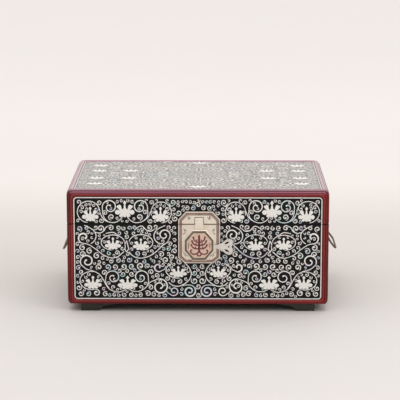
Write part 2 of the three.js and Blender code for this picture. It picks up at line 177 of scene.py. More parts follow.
def group_tree(name, kind, inputs, outputs):
    """A node group with named inputs (name, socket type, default) and outputs (name, socket type)."""
    tree = bpy.data.node_groups.new(name, kind)
    for label, socket_type, default in inputs:
        socket = tree.interface.new_socket(name=label, in_out="INPUT", socket_type=socket_type)
        if default is not None:
            socket.default_value = default
    for label, socket_type in outputs:
        tree.interface.new_socket(name=label, in_out="OUTPUT", socket_type=socket_type)
    return tree, tree.nodes.new("NodeGroupInput"), tree.nodes.new("NodeGroupOutput")


# Shared effects.
def make_mottle():
    """Soft cloudy variation and a fine grain, both from 0 to 1."""
    tree, given, result = group_tree(
        "mottle", "ShaderNodeTree",
        [("Vector", "NodeSocketVector", None), ("Cloud Scale", "NodeSocketFloat", 40.0),
         ("Grain Scale", "NodeSocketFloat", 900.0)],
        [("Cloud", "NodeSocketFloat"), ("Grain", "NodeSocketFloat")])
    for label, scale, detail in (("Cloud", "Cloud Scale", 3.0), ("Grain", "Grain Scale", 4.0)):
        noise = node(tree, "ShaderNodeTexNoise", {
            "Vector": given.outputs["Vector"], "Scale": given.outputs[scale], "Detail": detail})
        tree.links.new(noise.outputs["Fac"], result.inputs[label])
    return tree


def make_hairlines():
    """Fine polishing lines along two directions, as a height from 0 to 1."""
    tree, given, result = group_tree(
        "hairlines", "ShaderNodeTree",
        [("Vector", "NodeSocketVector", None), ("Scale", "NodeSocketFloat", 300.0),
         ("Stretch", "NodeSocketFloat", 14.0)],
        [("Height", "NodeSocketFloat")])
    stretch = given.outputs["Stretch"]
    heights = []
    for axes in ((1.0, stretch, stretch), (stretch, stretch, 1.0)):
        spread = node(tree, "ShaderNodeCombineXYZ", dict(zip(("X", "Y", "Z"), axes)))
        along = node(tree, "ShaderNodeVectorMath", {
            0: given.outputs["Vector"], 1: spread.outputs["Vector"]}, operation="MULTIPLY")
        noise = node(tree, "ShaderNodeTexNoise", {
            "Vector": along.outputs["Vector"], "Scale": given.outputs["Scale"], "Detail": 2.0})
        heights.append(noise.outputs["Fac"])
    tree.links.new(math_node(tree, "MAXIMUM", *heights), result.inputs["Height"])
    return tree


SHELL_RANGE = [  # silver white in the lower half, then green, blue, violet and rose
    (0.0, (0.94, 0.93, 0.90)), (0.30, (0.97, 0.96, 0.90)), (0.54, (0.88, 0.90, 0.91)),
    (0.63, (0.48, 0.85, 0.71)), (0.70, (0.53, 0.80, 0.91)), (0.77, (0.69, 0.64, 0.91)),
    (0.84, (0.91, 0.60, 0.75)), (0.92, (0.94, 0.87, 0.88)), (1.0, (0.94, 0.93, 0.90))]
SHELL_RIPPLE = (0.55, 0.56, 0.57)
# the tan grey that the shell is darkened towards: painted shade
SHELL_PAINTED_SHADE = (0.46, 0.42, 0.35)


def make_shell_colour():
    """Mother-of-pearl: mostly silver white, with stretches of green, blue, violet or rose."""
    tree, given, result = group_tree(
        "shell_colour", "ShaderNodeTree",
        [("Vector", "NodeSocketVector", None), ("Tint", "NodeSocketFloat", 0.5),
         ("Play", "NodeSocketFloat", 0.35), ("Scale", "NodeSocketFloat", 55.0),
         ("Painted Shade", "NodeSocketFloat", 0.0)],
        [("Color", "NodeSocketColor"), ("Ripple", "NodeSocketFloat")])
    drift = node(tree, "ShaderNodeTexNoise", {
        "Vector": given.outputs["Vector"], "Scale": given.outputs["Scale"], "Detail": 1.0})
    moved = math_node(tree, "MULTIPLY", math_node(tree, "SUBTRACT", drift.outputs["Fac"], 0.5),
                      given.outputs["Play"])
    place = math_node(tree, "FRACT", math_node(tree, "ADD", given.outputs["Tint"], moved))
    colour = colour_ramp(tree, place, SHELL_RANGE)
    ripple = node(tree, "ShaderNodeTexNoise", {
        "Vector": given.outputs["Vector"], "Scale": 700.0, "Detail": 3.0, "Distortion": 1.5})
    faint = math_node(tree, "MULTIPLY", ripple.outputs["Fac"], 0.14)
    shade = mix_colour(tree, faint, colour, SHELL_RIPPLE)
    # Painted shade: the shell is darkened towards a tan grey by the given share.
    shaded_shell = mix_colour(tree, given.outputs["Painted Shade"], shade, SHELL_PAINTED_SHADE)
    tree.links.new(shaded_shell, result.inputs["Color"])
    tree.links.new(ripple.outputs["Fac"], result.inputs["Ripple"])
    return tree


MOTTLE = make_mottle()
HAIRLINES = make_hairlines()
SHELL_COLOUR = make_shell_colour()


# Materials.
def start_material(name, **plain):
    """A material with its Principled shader's plain values set, and Object coordinates to work from."""
    material = bpy.data.materials.new(name)
    material.use_nodes = True
    tree = material.node_tree
    shader = tree.nodes["Principled BSDF"]
    for label, value in plain.items():
        shader.inputs[label.replace("_", " ")].default_value = value
    place = tree.nodes.new("ShaderNodeTexCoord").outputs["Object"]
    return material, tree, shader, place


def fill_group(tree, group, inputs):
    """A shared effect, placed with this material's own values."""
    used = tree.nodes.new("ShaderNodeGroup")
    used.node_tree = group
    fill_inputs(tree, used, inputs)
    return used


def bump(tree, shader, height, strength, distance=0.0002):
    raised = node(tree, "ShaderNodeBump", {"Height": height, "Strength": strength, "Distance": distance})
    tree.links.new(raised.outputs["Normal"], shader.inputs["Normal"])


def rough_between(tree, shader, factor, low, high):
    tree.links.new(map_range(tree, factor, To_Min=low, To_Max=high), shader.inputs["Roughness"])


RED_CLOUDS = [(0.3, (0.165, 0.012, 0.010)), (0.72, (0.285, 0.023, 0.020))]
# painted shade: the dark red that the reeds' hollows, the notches and the beads' ends at the seam turn to
RED_PAINTED_HOLLOW_SHADE = (0.030, 0.004, 0.005)
# painted highlight on the very tops of the crests
RED_PAINTED_CREST_HIGHLIGHT = (0.34, 0.06, 0.05)
# painted reflection of the bright sky on the lid's upward-facing crests
RED_PAINTED_SKY_REFLECTION = (0.48, 0.24, 0.38)


def red_lacquer(name, ior, coat=0.0):
    """Deep red lacquer: painted shade in the hollows beside the reeds, a painted highlight on their crests,
    and a painted reflection of the bright sky where they face up, mostly on the lid.
    """
    material, tree, shader, place = start_material(name, IOR=ior, Coat_Weight=coat, Coat_Roughness=0.12)
    clouds = fill_group(tree, MOTTLE, {"Vector": place, "Cloud Scale": 22.0, "Grain Scale": 700.0})
    crest = node(tree, "ShaderNodeAttribute", attribute_name="crest").outputs["Fac"]
    # Painted shade: the lower the crest mark, the nearer the colour comes to the dark hollow red.
    hollow = mix_colour(tree, crest, RED_PAINTED_HOLLOW_SHADE, colour_ramp(tree, clouds.outputs["Cloud"], RED_CLOUDS))
    # Painted highlight: the crests' tops turn towards a paler red.
    painted_crest_highlight = map_range(tree, crest, From_Min=0.9, From_Max=1.0, To_Max=0.25)
    crests = mix_colour(tree, painted_crest_highlight, hollow, RED_PAINTED_CREST_HIGHLIGHT)
    # Painted reflection of the sky: crests that face up, mostly on the lid, turn pale pink-violet.
    facing = node(tree, "ShaderNodeSeparateXYZ", {
        "Vector": tree.nodes.new("ShaderNodeTexCoord").outputs["Normal"]})
    upward = map_range(tree, facing.outputs["Z"], smooth=True, From_Min=0.2, From_Max=0.85, To_Max=0.7)
    spot = node(tree, "ShaderNodeSeparateXYZ", {"Vector": place})
    on_lid = map_range(tree, spot.outputs["Z"], From_Min=0.105, From_Max=0.12, To_Min=0.2)
    painted_sky_reflection = math_node(tree, "MULTIPLY", math_node(tree, "MULTIPLY", upward, crest), on_lid)
    tree.links.new(mix_colour(tree, painted_sky_reflection, crests, RED_PAINTED_SKY_REFLECTION), shader.inputs["Base Color"])
    rough_between(tree, shader, clouds.outputs["Cloud"], 0.14, 0.3)
    bump(tree, shader, clouds.outputs["Grain"], 0.05)
    return material


BLACK_CLOUDS = [
    (0.3, (0.0035, 0.0060, 0.0095)), (0.5, (0.0085, 0.0060, 0.0068)), (0.7, (0.0040, 0.0080, 0.0070))]


def black_lacquer(name, ior, wear_and_sheen=1.0, coat=0.0):
    """Polished black lacquer with polishing lines and a faint blue cast; wear dulls its polish, and the same
    factor greys its colour as a painted sheen of the pale room's reflection.
    """
    material, tree, shader, place = start_material(name, IOR=ior, Coat_Weight=coat, Coat_Roughness=0.15)
    clouds = fill_group(tree, MOTTLE, {"Vector": place, "Cloud Scale": 18.0, "Grain Scale": 500.0})
    lines = fill_group(tree, HAIRLINES, {"Vector": place, "Scale": 120.0})
    # Painted sheen: a factor above 1 lightens the black towards grey, standing in for the pale room's
    # reflection.
    tones = [(stop, tuple(c * wear_and_sheen for c in tone)) for stop, tone in BLACK_CLOUDS]
    tree.links.new(colour_ramp(tree, clouds.outputs["Cloud"], tones), shader.inputs["Base Color"])
    rough_between(tree, shader, lines.outputs["Height"], 0.06 + 0.04 * wear_and_sheen, 0.14 + 0.06 * wear_and_sheen)
    bump(tree, shader, lines.outputs["Height"], 0.03)
    return material


def plain_lacquer(name, dark, light, low, high):
    """Satin lacquer on the parts that seldom show."""
    material, tree, shader, place = start_material(name, IOR=1.48)
    clouds = fill_group(tree, MOTTLE, {"Vector": place, "Cloud Scale": 35.0, "Grain Scale": 420.0})
    tree.links.new(colour_ramp(tree, clouds.outputs["Cloud"], [(0.25, dark), (0.75, light)]),
                   shader.inputs["Base Color"])
    rough_between(tree, shader, clouds.outputs["Grain"], low, high)
    bump(tree, shader, clouds.outputs["Grain"], 0.12)
    return material


def pearl(name, play, scale, painted_shade=0.0):
    """Polished shell: play is how far its tint wanders, scale how fast, and the last share darkens it towards
    a tan grey as painted shade.
    """
    material, tree, shader, place = start_material(name, IOR=1.53, Coat_Weight=0.5, Coat_Roughness=0.08)
    tint = node(tree, "ShaderNodeAttribute", attribute_name="tint").outputs["Fac"]
    shell = fill_group(tree, SHELL_COLOUR, {
        "Vector": place, "Tint": tint, "Play": play, "Scale": scale, "Painted Shade": painted_shade})
    tree.links.new(shell.outputs["Color"], shader.inputs["Base Color"])
    rough_between(tree, shader, shell.outputs["Ripple"], 0.18, 0.42)
    bump(tree, shader, shell.outputs["Ripple"], 0.08)
    return material


def metal(name, dark, light, low, high, metallic=1.0):
    """Cast or sheet brass with a soft brushed grain and a cloudy tarnish."""
    material, tree, shader, place = start_material(name, Metallic=metallic)
    clouds = fill_group(tree, MOTTLE, {"Vector": place, "Cloud Scale": 130.0, "Grain Scale": 1500.0})
    lines = fill_group(tree, HAIRLINES, {"Vector": place, "Scale": 420.0})
    tree.links.new(colour_ramp(tree, clouds.outputs["Cloud"], [(0.3, dark), (0.7, light)]),
                   shader.inputs["Base Color"])
    rough_between(tree, shader, lines.outputs["Height"], low, high)
    bump(tree, shader, clouds.outputs["Grain"], 0.15)
    return material


def enamel_red():
    """Glassy dark red enamel, a little uneven."""
    material, tree, shader, place = start_material("enamel_red", IOR=1.5, Coat_Weight=0.4, Coat_Roughness=0.1)
    clouds = fill_group(tree, MOTTLE, {"Vector": place, "Cloud Scale": 300.0, "Grain Scale": 1600.0})
    tree.links.new(colour_ramp(tree, clouds.outputs["Cloud"], [
        (0.3, (0.085, 0.005, 0.010)), (0.7, (0.22, 0.010, 0.024))]), shader.inputs["Base Color"])
    rough_between(tree, shader, clouds.outputs["Grain"], 0.2, 0.4)
    bump(tree, shader, clouds.outputs["Grain"], 0.1)
    return material


FLOOR_TONES = [  # from before the box to far behind it; the greyer stretch round the box is painted shade
    (0.0, (0.69, 0.67, 0.655)), (0.17, (0.68, 0.66, 0.645)), (0.29, (0.635, 0.607, 0.575)),
    (0.38, (0.66, 0.63, 0.60)), (0.62, (0.81, 0.78, 0.755)), (1.0, (0.85, 0.825, 0.80))]


def pale_floor():
    """A matt floor, a little greyer round the box as painted shade, and lighter far behind it."""
    material, tree, shader, place = start_material("studio_floor", IOR=1.4, Roughness=0.7)
    clouds = fill_group(tree, MOTTLE, {"Vector": place, "Cloud Scale": 6.0, "Grain Scale": 60.0})
    spot = node(tree, "ShaderNodeSeparateXYZ", {"Vector": place})
    depth = map_range(tree, spot.outputs["Y"], From_Min=-0.5, From_Max=1.5)
    tone = colour_ramp(tree, depth, FLOOR_TONES, "EASE")
    uneven = math_node(tree, "MULTIPLY", clouds.outputs["Cloud"], 0.05)
    tree.links.new(mix_colour(tree, uneven, tone, (0.45, 0.42, 0.38)), shader.inputs["Base Color"])
    return material


RED = red_lacquer("red_lacquer", 1.33)
RED_TOP = red_lacquer("red_lacquer_top", 1.55, 1.0)
BLACK = black_lacquer("black_lacquer", 1.26)
# The top panel's black is lightened fourfold: a painted sheen for the pale room it reflects.
BLACK_TOP = black_lacquer("black_lacquer_top", 1.65, 4.0, 0.75)
INSIDE = plain_lacquer("inside_lacquer", (0.012, 0.008, 0.008), (0.022, 0.014, 0.013), 0.35, 0.55)
BOTTOM = plain_lacquer("bottom_lacquer", (0.014, 0.011, 0.010), (0.026, 0.021, 0.019), 0.4, 0.6)
FOOT = plain_lacquer("foot_lacquer", (0.016, 0.014, 0.010), (0.038, 0.031, 0.022), 0.3, 0.5)
PEARL = pearl("pearl_scrolls", 1.25, 380.0)
# The top's shell is darkened by painted shade.
PEARL_TOP = pearl("pearl_scrolls_top", 0.7, 120.0, 0.6)
PEARL_FLOWER = pearl("pearl_flowers", 0.2, 90.0)
LOCK_BRASS = metal("lock_brass", (0.88, 0.77, 0.64), (0.97, 0.90, 0.79), 0.30, 0.48, 0.5)
LOCK_BAND = metal("lock_band", (0.17, 0.11, 0.09), (0.28, 0.19, 0.155), 0.4, 0.6, 0.6)
LOCK_RIB = metal("lock_rib", (0.44, 0.31, 0.26), (0.60, 0.45, 0.38), 0.36, 0.5, 0.6)
LOCK_OCTAGON_BAND = metal("lock_octagon_band", (0.07, 0.05, 0.035), (0.14, 0.10, 0.075), 0.4, 0.6, 0.6)
LOCK_OCTAGON_RIB = metal("lock_octagon_rib", (0.24, 0.18, 0.13), (0.36, 0.28, 0.21), 0.36, 0.5, 0.6)
LOCK_FACE = metal("lock_face", (0.74, 0.53, 0.43), (0.86, 0.65, 0.53), 0.36, 0.54, 0.5)
# Dark engraving metal; the same material paints shade along the plate's seam and round the tongue.
ENGRAVING_AND_SHADE = metal("lock_engraving", (0.16, 0.11, 0.08), (0.26, 0.19, 0.14), 0.45, 0.6, 0.4)
KEY_METAL = metal("key_metal", (0.74, 0.70, 0.64), (0.88, 0.85, 0.80), 0.24, 0.42, 0.85)
HANDLE_METAL = metal("handle_metal", (0.10, 0.08, 0.055), (0.24, 0.19, 0.13), 0.28, 0.45, 0.9)
HINGE_METAL = metal("hinge_metal", (0.46, 0.35, 0.22), (0.66, 0.52, 0.34), 0.3, 0.46, 0.95)
ENAMEL = enamel_red()
FLOOR = pale_floor()


# Meshes.
def put_in_scene(name, data):
    """An object of a mesh, a light or a lens, linked into the scene."""
    made = bpy.data.objects.new(name, data)
    bpy.context.scene.collection.objects.link(made)
    return made


def outward(made):
    """Turns every closed shell's faces outwards."""
    work = bmesh.new()
    work.from_mesh(made.data)
    bmesh.ops.recalc_face_normals(work, faces=work.faces)
    work.to_mesh(made.data)
    work.free()
    made.data.update()


def smooth_by_angle(mesh, degrees):
    mesh.polygons.foreach_set("use_smooth", [True] * len(mesh.polygons))
    mesh.set_sharp_from_angle(angle=math.radians(degrees))


class Skin:
    """Gathers closed shells, in millimetres, into one mesh with a number of its own at every point."""

    def __init__(self):
        self.points = []
        self.faces = []
        self.marks = []
        self.slots = []

    def add(self, points, faces, mark=0.0, slot=0):
        """Adds one shell; the mark and the slot are one number or a list with one each."""
        start = len(self.points)
        self.points.extend(points)
        self.faces.extend([tuple(start + i for i in face) for face in faces])
        self.marks.extend(mark if hasattr(mark, "__len__") else [mark] * len(points))
        self.slots.extend(slot if hasattr(slot, "__len__") else [slot] * len(faces))

    def build(self, name, materials, mark_name=None, place=None, smooth=None):
        mesh = bpy.data.meshes.new(name)
        mesh.from_pydata([tuple(c * MM for c in p) for p in self.points], [], self.faces)
        if mark_name:
            attribute = mesh.attributes.new(mark_name, "FLOAT", "POINT")
            attribute.data.foreach_set("value", np.array(self.marks, np.float32))
        for material in materials:
            mesh.materials.append(material)
        mesh.polygons.foreach_set("material_index", self.slots)
        if place is not None:
            mesh.transform(place)
        mesh.update()
        made = put_in_scene(name, mesh)
        outward(made)
        if smooth is not None:
            smooth_by_angle(mesh, smooth)
        return made


def loft(loops, closed_rows=False):
    """Faces that join loops of equal length, with both ends capped, or the last loop joined to the first."""
    count = len(loops[0])
    points = [p for loop in loops for p in loop]
    faces = []
    rows = len(loops) if closed_rows else len(loops) - 1
    for row in range(rows):
        here = row * count
        there = ((row + 1) % len(loops)) * count
        for i in range(count):
            j = (i + 1) % count
            faces.append((here + i, here + j, there + j, there + i))
    if not closed_rows:
        last = (len(loops) - 1) * count
        faces.append(tuple(range(count - 1, -1, -1)))
        faces.append(tuple(range(last, last + count)))
    return points, faces


def rounded_rectangle(u_low, u_high, v_low, v_high, radius, steps=CORNER_STEPS):
    """Counter-clockwise from the start of the lower right corner's arc."""
    corners = ((u_high - radius, v_low + radius, -90), (u_high - radius, v_high - radius, 0),
               (u_low + radius, v_high - radius, 90), (u_low + radius, v_low + radius, 180))
    points = []
    for u, v, start in corners:
        for i in range(steps + 1):
            angle = math.radians(start + 90 * i / steps)
            points.append((u + radius * math.cos(angle), v + radius * math.sin(angle)))
    return points


class Face:
    """One outer face of the box: its directions, how far out its core lies, and its extent."""

    def __init__(self, u, v, out, distance, u_half, v_low, v_high):
        self.u, self.v, self.out = Vector(u), Vector(v), Vector(out)
        self.distance, self.u_half, self.v_low, self.v_high = distance, u_half, v_low, v_high

    def place(self, raised=0.0):
        """Puts a mesh drawn in u, v and outward metres on this face."""
        turn = Matrix((self.u, self.v, self.out)).transposed().to_4x4()
        return Matrix.Translation(self.out * (self.distance + raised) * MM) @ turn


FACES = {
    "front": Face((1, 0, 0), (0, 0, 1), (0, -1, 0), CORE_Y, CORE_X, CORE_BOTTOM, CORE_TOP),
    "back": Face((-1, 0, 0), (0, 0, 1), (0, 1, 0), CORE_Y, CORE_X, CORE_BOTTOM, CORE_TOP),
    "right": Face((0, 1, 0), (0, 0, 1), (1, 0, 0), CORE_X, CORE_Y, CORE_BOTTOM, CORE_TOP),
    "left": Face((0, -1, 0), (0, 0, 1), (-1, 0, 0), CORE_X, CORE_Y, CORE_BOTTOM, CORE_TOP),
    "top": Face((1, 0, 0), (0, 1, 0), (0, 0, 1), CORE_TOP, CORE_X, -CORE_Y, CORE_Y),
}


def finish_piece(made, body, slot, *stands_for):
    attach(made, body)
    if stands_for:
        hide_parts(*stands_for)
    return made


# Frames: walls with half-round beads, each bead two smooth reeds that stop at the seam.
# The core between the beads takes this low mark, which the red lacquer turns into painted shade.
CORE_MARK = 0.35
# From the seam inwards: how far the bead falls, and its share of the mark; the small shares paint shade on
# the bead's end at the seam.
SEAM_ENDS = ((0.35, 0.1), (0.04, 0.2), (0.0, 1.0))


def bead_loops(face, low, high):
    """Cross-sections of one face's bead, all round or as far as the seam, with a mark for every point."""
    outer = rounded_rectangle(-face.u_half + BEAD_GAP, face.u_half - BEAD_GAP,
                              face.v_low + BEAD_GAP, face.v_high - BEAD_GAP, OUTER_RADIUS)
    inset = BEAD_GAP + BEAD_WIDTH
    extra = 0.0 if face is FACES["top"] else BEAD_TOP_EXTRA
    inner = rounded_rectangle(-face.u_half + inset, face.u_half - inset,
                              face.v_low + inset, face.v_high - inset - extra, INNER_RADIUS)
    pairs = list(zip(outer, inner))
    has_ends = low is not None or high is not None
    if has_ends:
        pairs = parted(pairs, low, high)
    section = moulding_section()
    loops, marks = [], []
    for i, ((ou, ov), (iu, iv)) in enumerate(pairs):
        fall, mark_share = SEAM_ENDS[min(i, len(pairs) - 1 - i, 2) if has_ends else 2]
        loops.append([(ou + (iu - ou) * across, ov + (iv - ov) * across,
                       height - fall * max(height, 0) / BEAD_RISE) for across, height, _ in section])
        marks += [mark * mark_share for _, _, mark in section]
    return loops, marks


def moulding_section():
    """The half-round bead parted into two reeds: share across, height, and mark from hollow 0 to crest 1."""
    half = REED_PARTING_HALF
    parting = [REED_PARTING + half * k for k in (-1, -0.6, -0.25, 0, 0.25, 0.6, 1)]
    rounds = [(1 - math.cos(math.pi * i / BEAD_STEPS)) / 2 for i in range(BEAD_STEPS + 1)]
    outside = [u for u in rounds if abs(u - REED_PARTING) > half * 1.1]
    section = [(0.0, -BEAD_ROOT, 0.0)]
    for u in sorted(outside + parting):
        share = math.sqrt(max(0.0, 1 - (1 - 2 * u) ** 2))
        cut = max(0.0, 1 - abs(u - REED_PARTING) / half) ** 1.3
        # The mark is low at the bead's foot and in the parting, for painted shade, and near 1 on the crests,
        # for a painted highlight.
        section.append((u, BEAD_RISE * share - REED_PARTING_DEPTH * cut, math.sqrt(share) * (1 - 0.8 * cut)))
    section.append((1.0, -BEAD_ROOT, 0.0))
    return section


def parted(pairs, low, high):
    """Keeps the pairs of outline points above low or below high, with ends exactly at the seam."""
    seam = low if low is not None else high
    keep = (lambda v: v > seam) if low is not None else (lambda v: v < seam)
    count = len(pairs)
    start = next(i for i in range(count) if keep(pairs[i][0][1]) and not keep(pairs[i - 1][0][1]))
    run = []
    for step in range(count):
        pair = pairs[(start + step) % count]
        if not keep(pair[0][1]):
            break
        run.append(pair)
    groove = SEAM_GROOVE if low is not None else -SEAM_GROOVE
    first, last = ([tuple((u, seam + share * groove) for u, _ in run[end]) for share in (0, 1, 1.6)]
                   for end in (0, -1))
    return [*first, *run, *reversed(last)]


def add_bead(skin, face, low=None, high=None, slot=0):
    loops, marks = bead_loops(face, low, high)
    points, faces = loft(loops, closed_rows=low is None and high is None)
    place = face.place()
    points = [tuple(place @ Vector([c * MM for c in p]) / MM) for p in points]
    skin.add(points, faces, marks, slot)


def wall_loop(x, y, z, radius):
    return [(u, v, z) for u, v in rounded_rectangle(-x, x, -y, y, radius)]


def edge_loops(z_edge, direction):
    """Loops that round the core's lower or upper outer edge, from the side to the flat."""
    loops = []
    for i in range(EDGE_STEPS + 1):
        turn = math.radians(90 * i / EDGE_STEPS)
        inset = CORE_RADIUS * (1 - math.cos(turn))
        z = z_edge - direction * CORE_RADIUS * (1 - math.sin(turn))
        loops.append(wall_loop(CORE_X - inset, CORE_Y - inset, z, max(CORE_RADIUS - inset, 0.05)))
    return loops


def build_case_frame():
    """The case's walls, red outside and plain inside, with the pocket for the bottom board."""
    skin = Skin()
    pocket_x = INSIDE_X + BOARD_LEDGE
    pocket_y = INSIDE_Y + BOARD_LEDGE
    loops = [
        wall_loop(CORE_X, CORE_Y, CASE_TOP, CORE_RADIUS),
        wall_loop(INSIDE_X, INSIDE_Y, CASE_TOP, INSIDE_RADIUS),
        wall_loop(INSIDE_X, INSIDE_Y, BOARD_HIGH.z, INSIDE_RADIUS),
        wall_loop(pocket_x, pocket_y, BOARD_HIGH.z, INSIDE_RADIUS),
        wall_loop(pocket_x, pocket_y, CORE_BOTTOM, INSIDE_RADIUS),
        *reversed(edge_loops(CORE_BOTTOM, -1)),
    ]
    points, faces = loft(loops, closed_rows=True)
    per_row = len(loops[0])
    inner_rows = range(1, 4)
    slots = [1 if i // per_row in inner_rows else 0 for i in range(len(faces))]
    skin.add(points, faces, CORE_MARK, slots)
    for side in SIDES:
        add_bead(skin, FACES[side], high=CASE_TOP)
    made = skin.build("case_walls", [RED, INSIDE], "crest", smooth=35)
    return finish_piece(made, "case", "red_lacquer", "case_frame")


def build_lid_frame():
    """The lid's walls and ceiling, red outside and plain inside."""
    skin = Skin()
    loops = [
        wall_loop(INSIDE_X, INSIDE_Y, LID_CEILING, INSIDE_RADIUS),
        wall_loop(INSIDE_X, INSIDE_Y, LID_BOTTOM, INSIDE_RADIUS),
        wall_loop(CORE_X, CORE_Y, LID_BOTTOM, CORE_RADIUS),
        *edge_loops(CORE_TOP, 1),
    ]
    points, faces = loft(loops)
    per_row = len(loops[0])
    ceiling = len(faces) - 2
    slots = [1 if i // per_row == 0 or i == ceiling else 0 for i in range(len(faces))]
    skin.add(points, faces, CORE_MARK, slots)
    for side in SIDES:
        add_bead(skin, FACES[side], low=LID_BOTTOM)
    add_bead(skin, FACES["top"], slot=2)
    made = skin.build("lid_walls", [RED, INSIDE, RED_TOP], "crest", smooth=35)
    return finish_piece(made, "lid", "red_lacquer", "lid_frame")


# Inlay lines: flat ribbons let into the lacquer.
def smooth_path(points, spacing=0.7):
    """A smooth line through the points, sampled evenly enough for a ribbon."""
    knots = [2 * np.array(points[0]) - np.array(points[1]), *map(np.array, points),
             2 * np.array(points[-1]) - np.array(points[-2])]
    line = []
    for a, b, c, d in zip(knots, knots[1:], knots[2:], knots[3:]):
        steps = max(2, int(np.linalg.norm(c - b) / spacing))
        for i in range(steps):
            t = i / steps
            line.append(0.5 * (2 * b + (c - a) * t + (2 * a - 5 * b + 4 * c - d) * t * t
                               + (3 * b - a - 3 * c + d) * t ** 3))
    line.append(np.array(points[-1], float))
    return np.array(line)


def ellipse_arc(u, v, ru, rv, start, sweep):
    count = max(12, int(abs(sweep) / 8))
    turns = np.radians(start + sweep * np.arange(count + 1) / count)
    return np.stack([u + ru * np.cos(turns), v + rv * np.sin(turns)], 1)


def spiral(u, v, radius, start, turns, inner=0.15):
    count = max(14, int(abs(turns) * 30))
    share = np.arange(count + 1) / count
    angle = np.radians(start) + 2 * math.pi * turns * share
    reach = radius * (1 - share ** 1.25 * (1 - inner))
    return np.stack([u + reach * np.cos(angle), v + reach * np.sin(angle)], 1)


def lengths_along(line):
    steps = np.linalg.norm(np.diff(line, axis=0), axis=1)
    return np.concatenate([[0.0], np.cumsum(steps)])


def stroke_widths(line, width, weight, bulb, swell=0.15):
    """Thin at the root, swelling to its weight in the scroll, with a round bud or a point at the far end."""
    along = lengths_along(line)
    total = along[-1]
    share = along / total
    rise = np.clip((share - swell) / 0.3, 0, 1)
    fall = np.clip((1 - share) / 0.3, 0, 1)
    widths = width * (0.85 + (weight - 0.85) * rise * rise * (3 - 2 * rise) * (0.5 + 0.5 * fall))
    widths = widths + bulb * width * np.exp(-((total - along - 0.5 * width) / (1.1 * width)) ** 2)
    for distance in (along, total - along):
        near = np.clip(distance / (0.6 * width), 0, 1)
        widths = widths * np.sqrt(np.clip(1 - (1 - near) ** 2, 0.02, 1))
    return widths


def add_ribbon(skin, line, widths, tint, rise):
    tangent = np.gradient(line, axis=0)
    tangent /= np.maximum(np.linalg.norm(tangent, axis=1, keepdims=True), 1e-9)
    across = np.stack([-tangent[:, 1], tangent[:, 0]], 1) * widths[:, None] / 2
    left, right = line + across, line - across
    points, faces = [], []
    for l, r in zip(left, right):
        points += [(*r, rise), (*l, rise), (*l, -PEARL_ROOT), (*r, -PEARL_ROOT)]
    for i in range(len(line) - 1):
        a, b = 4 * i, 4 * (i + 1)
        for k in range(4):
            m = (k + 1) % 4
            faces.append((a + k, b + k, b + m, a + m))
    faces.append((0, 1, 2, 3))
    end = 4 * (len(line) - 1)
    faces.append((end + 3, end + 2, end + 1, end))
    skin.add(points, faces, tint)


# The front's layout, in pixels of the 400 x 400 photograph, left half.
PHOTO_MIDLINE = 198.3
LINE_PIXELS = 0.92

LID_RINGS = [  # middle, radii, start and sweep in degrees
    (88.4, 212.3, 11.3, 11.0, 265, -268), (161.1, 212.7, 10.2, 10.7, 200, -290)]
LID_SCROLLS = [  # middle, radius, start in degrees, turns, weight of line, then the stem from its root
    (109.6, 207.4, 7.5, 185, -1.4, 1.25,
     [(122.4, 217.2), (118.5, 221.2), (113.6, 222.9), (107.6, 221.7), (103.4, 216.6)]),
    (140.0, 207.4, 7.5, -5, 1.4, 1.25,
     [(127.0, 217.2), (131.0, 221.2), (136.0, 223.0), (142.5, 221.6), (147.3, 216.6)])]
LID_STEMS = [
    [(99.7, 212.5), (101.6, 217.0), (105.2, 220.8), (110.0, 222.7)],
    [(150.6, 211.6), (148.2, 217.2), (144.0, 221.0)],
    [(171.3, 206.5), (168.6, 203.4), (170.6, 206.6), (173.4, 205.6)]]
LID_FLOWERS = [  # middle of the base, width and height
    (90.2, 221.7, 16.5, 15.2), (124.7, 217.6, 19.6, 17.2), (160.5, 222.0, 16.5, 15.6)]
LID_CURLS = [
    (78.5, 202.5, 2.2), (77.9, 221.2, 1.8), (85.4, 205.2, 1.8), (93.2, 205.6, 1.7), (80.9, 212.2, 1.9),
    (98.3, 213.4, 1.5), (101.2, 220.9, 2.4), (96.3, 221.6, 1.7), (98.8, 202.9, 2.4), (106.9, 203.4, 1.5),
    (104.8, 213.2, 2.4), (111.2, 217.4, 2.9), (117.2, 218.3, 1.7), (117.0, 201.7, 1.8), (132.2, 201.7, 1.9),
    (142.4, 203.7, 1.7), (139.4, 217.4, 3.0), (145.2, 212.6, 2.3), (133.6, 218.9, 1.6), (151.4, 202.9, 2.3),
    (122.4, 221.2, 1.4), (126.6, 221.4, 1.6), (150.2, 221.3, 2.4), (155.2, 221.9, 1.5), (156.6, 206.7, 1.6),
    (163.8, 206.2, 1.6), (152.8, 212.8, 1.6), (168.4, 213.4, 1.6), (172.8, 202.7, 2.6), (177.8, 202.1, 1.8),
    (182.1, 201.8, 1.6), (186.0, 202.2, 1.8), (190.1, 202.5, 1.7), (194.0, 202.5, 1.7), (173.7, 209.3, 2.0),
    (178.3, 206.2, 1.7), (183.0, 207.0, 1.7), (187.0, 208.4, 2.3), (192.9, 208.3, 2.4), (178.5, 213.2, 2.9),
    (174.9, 218.9, 2.7), (173.6, 214.2, 1.6)]

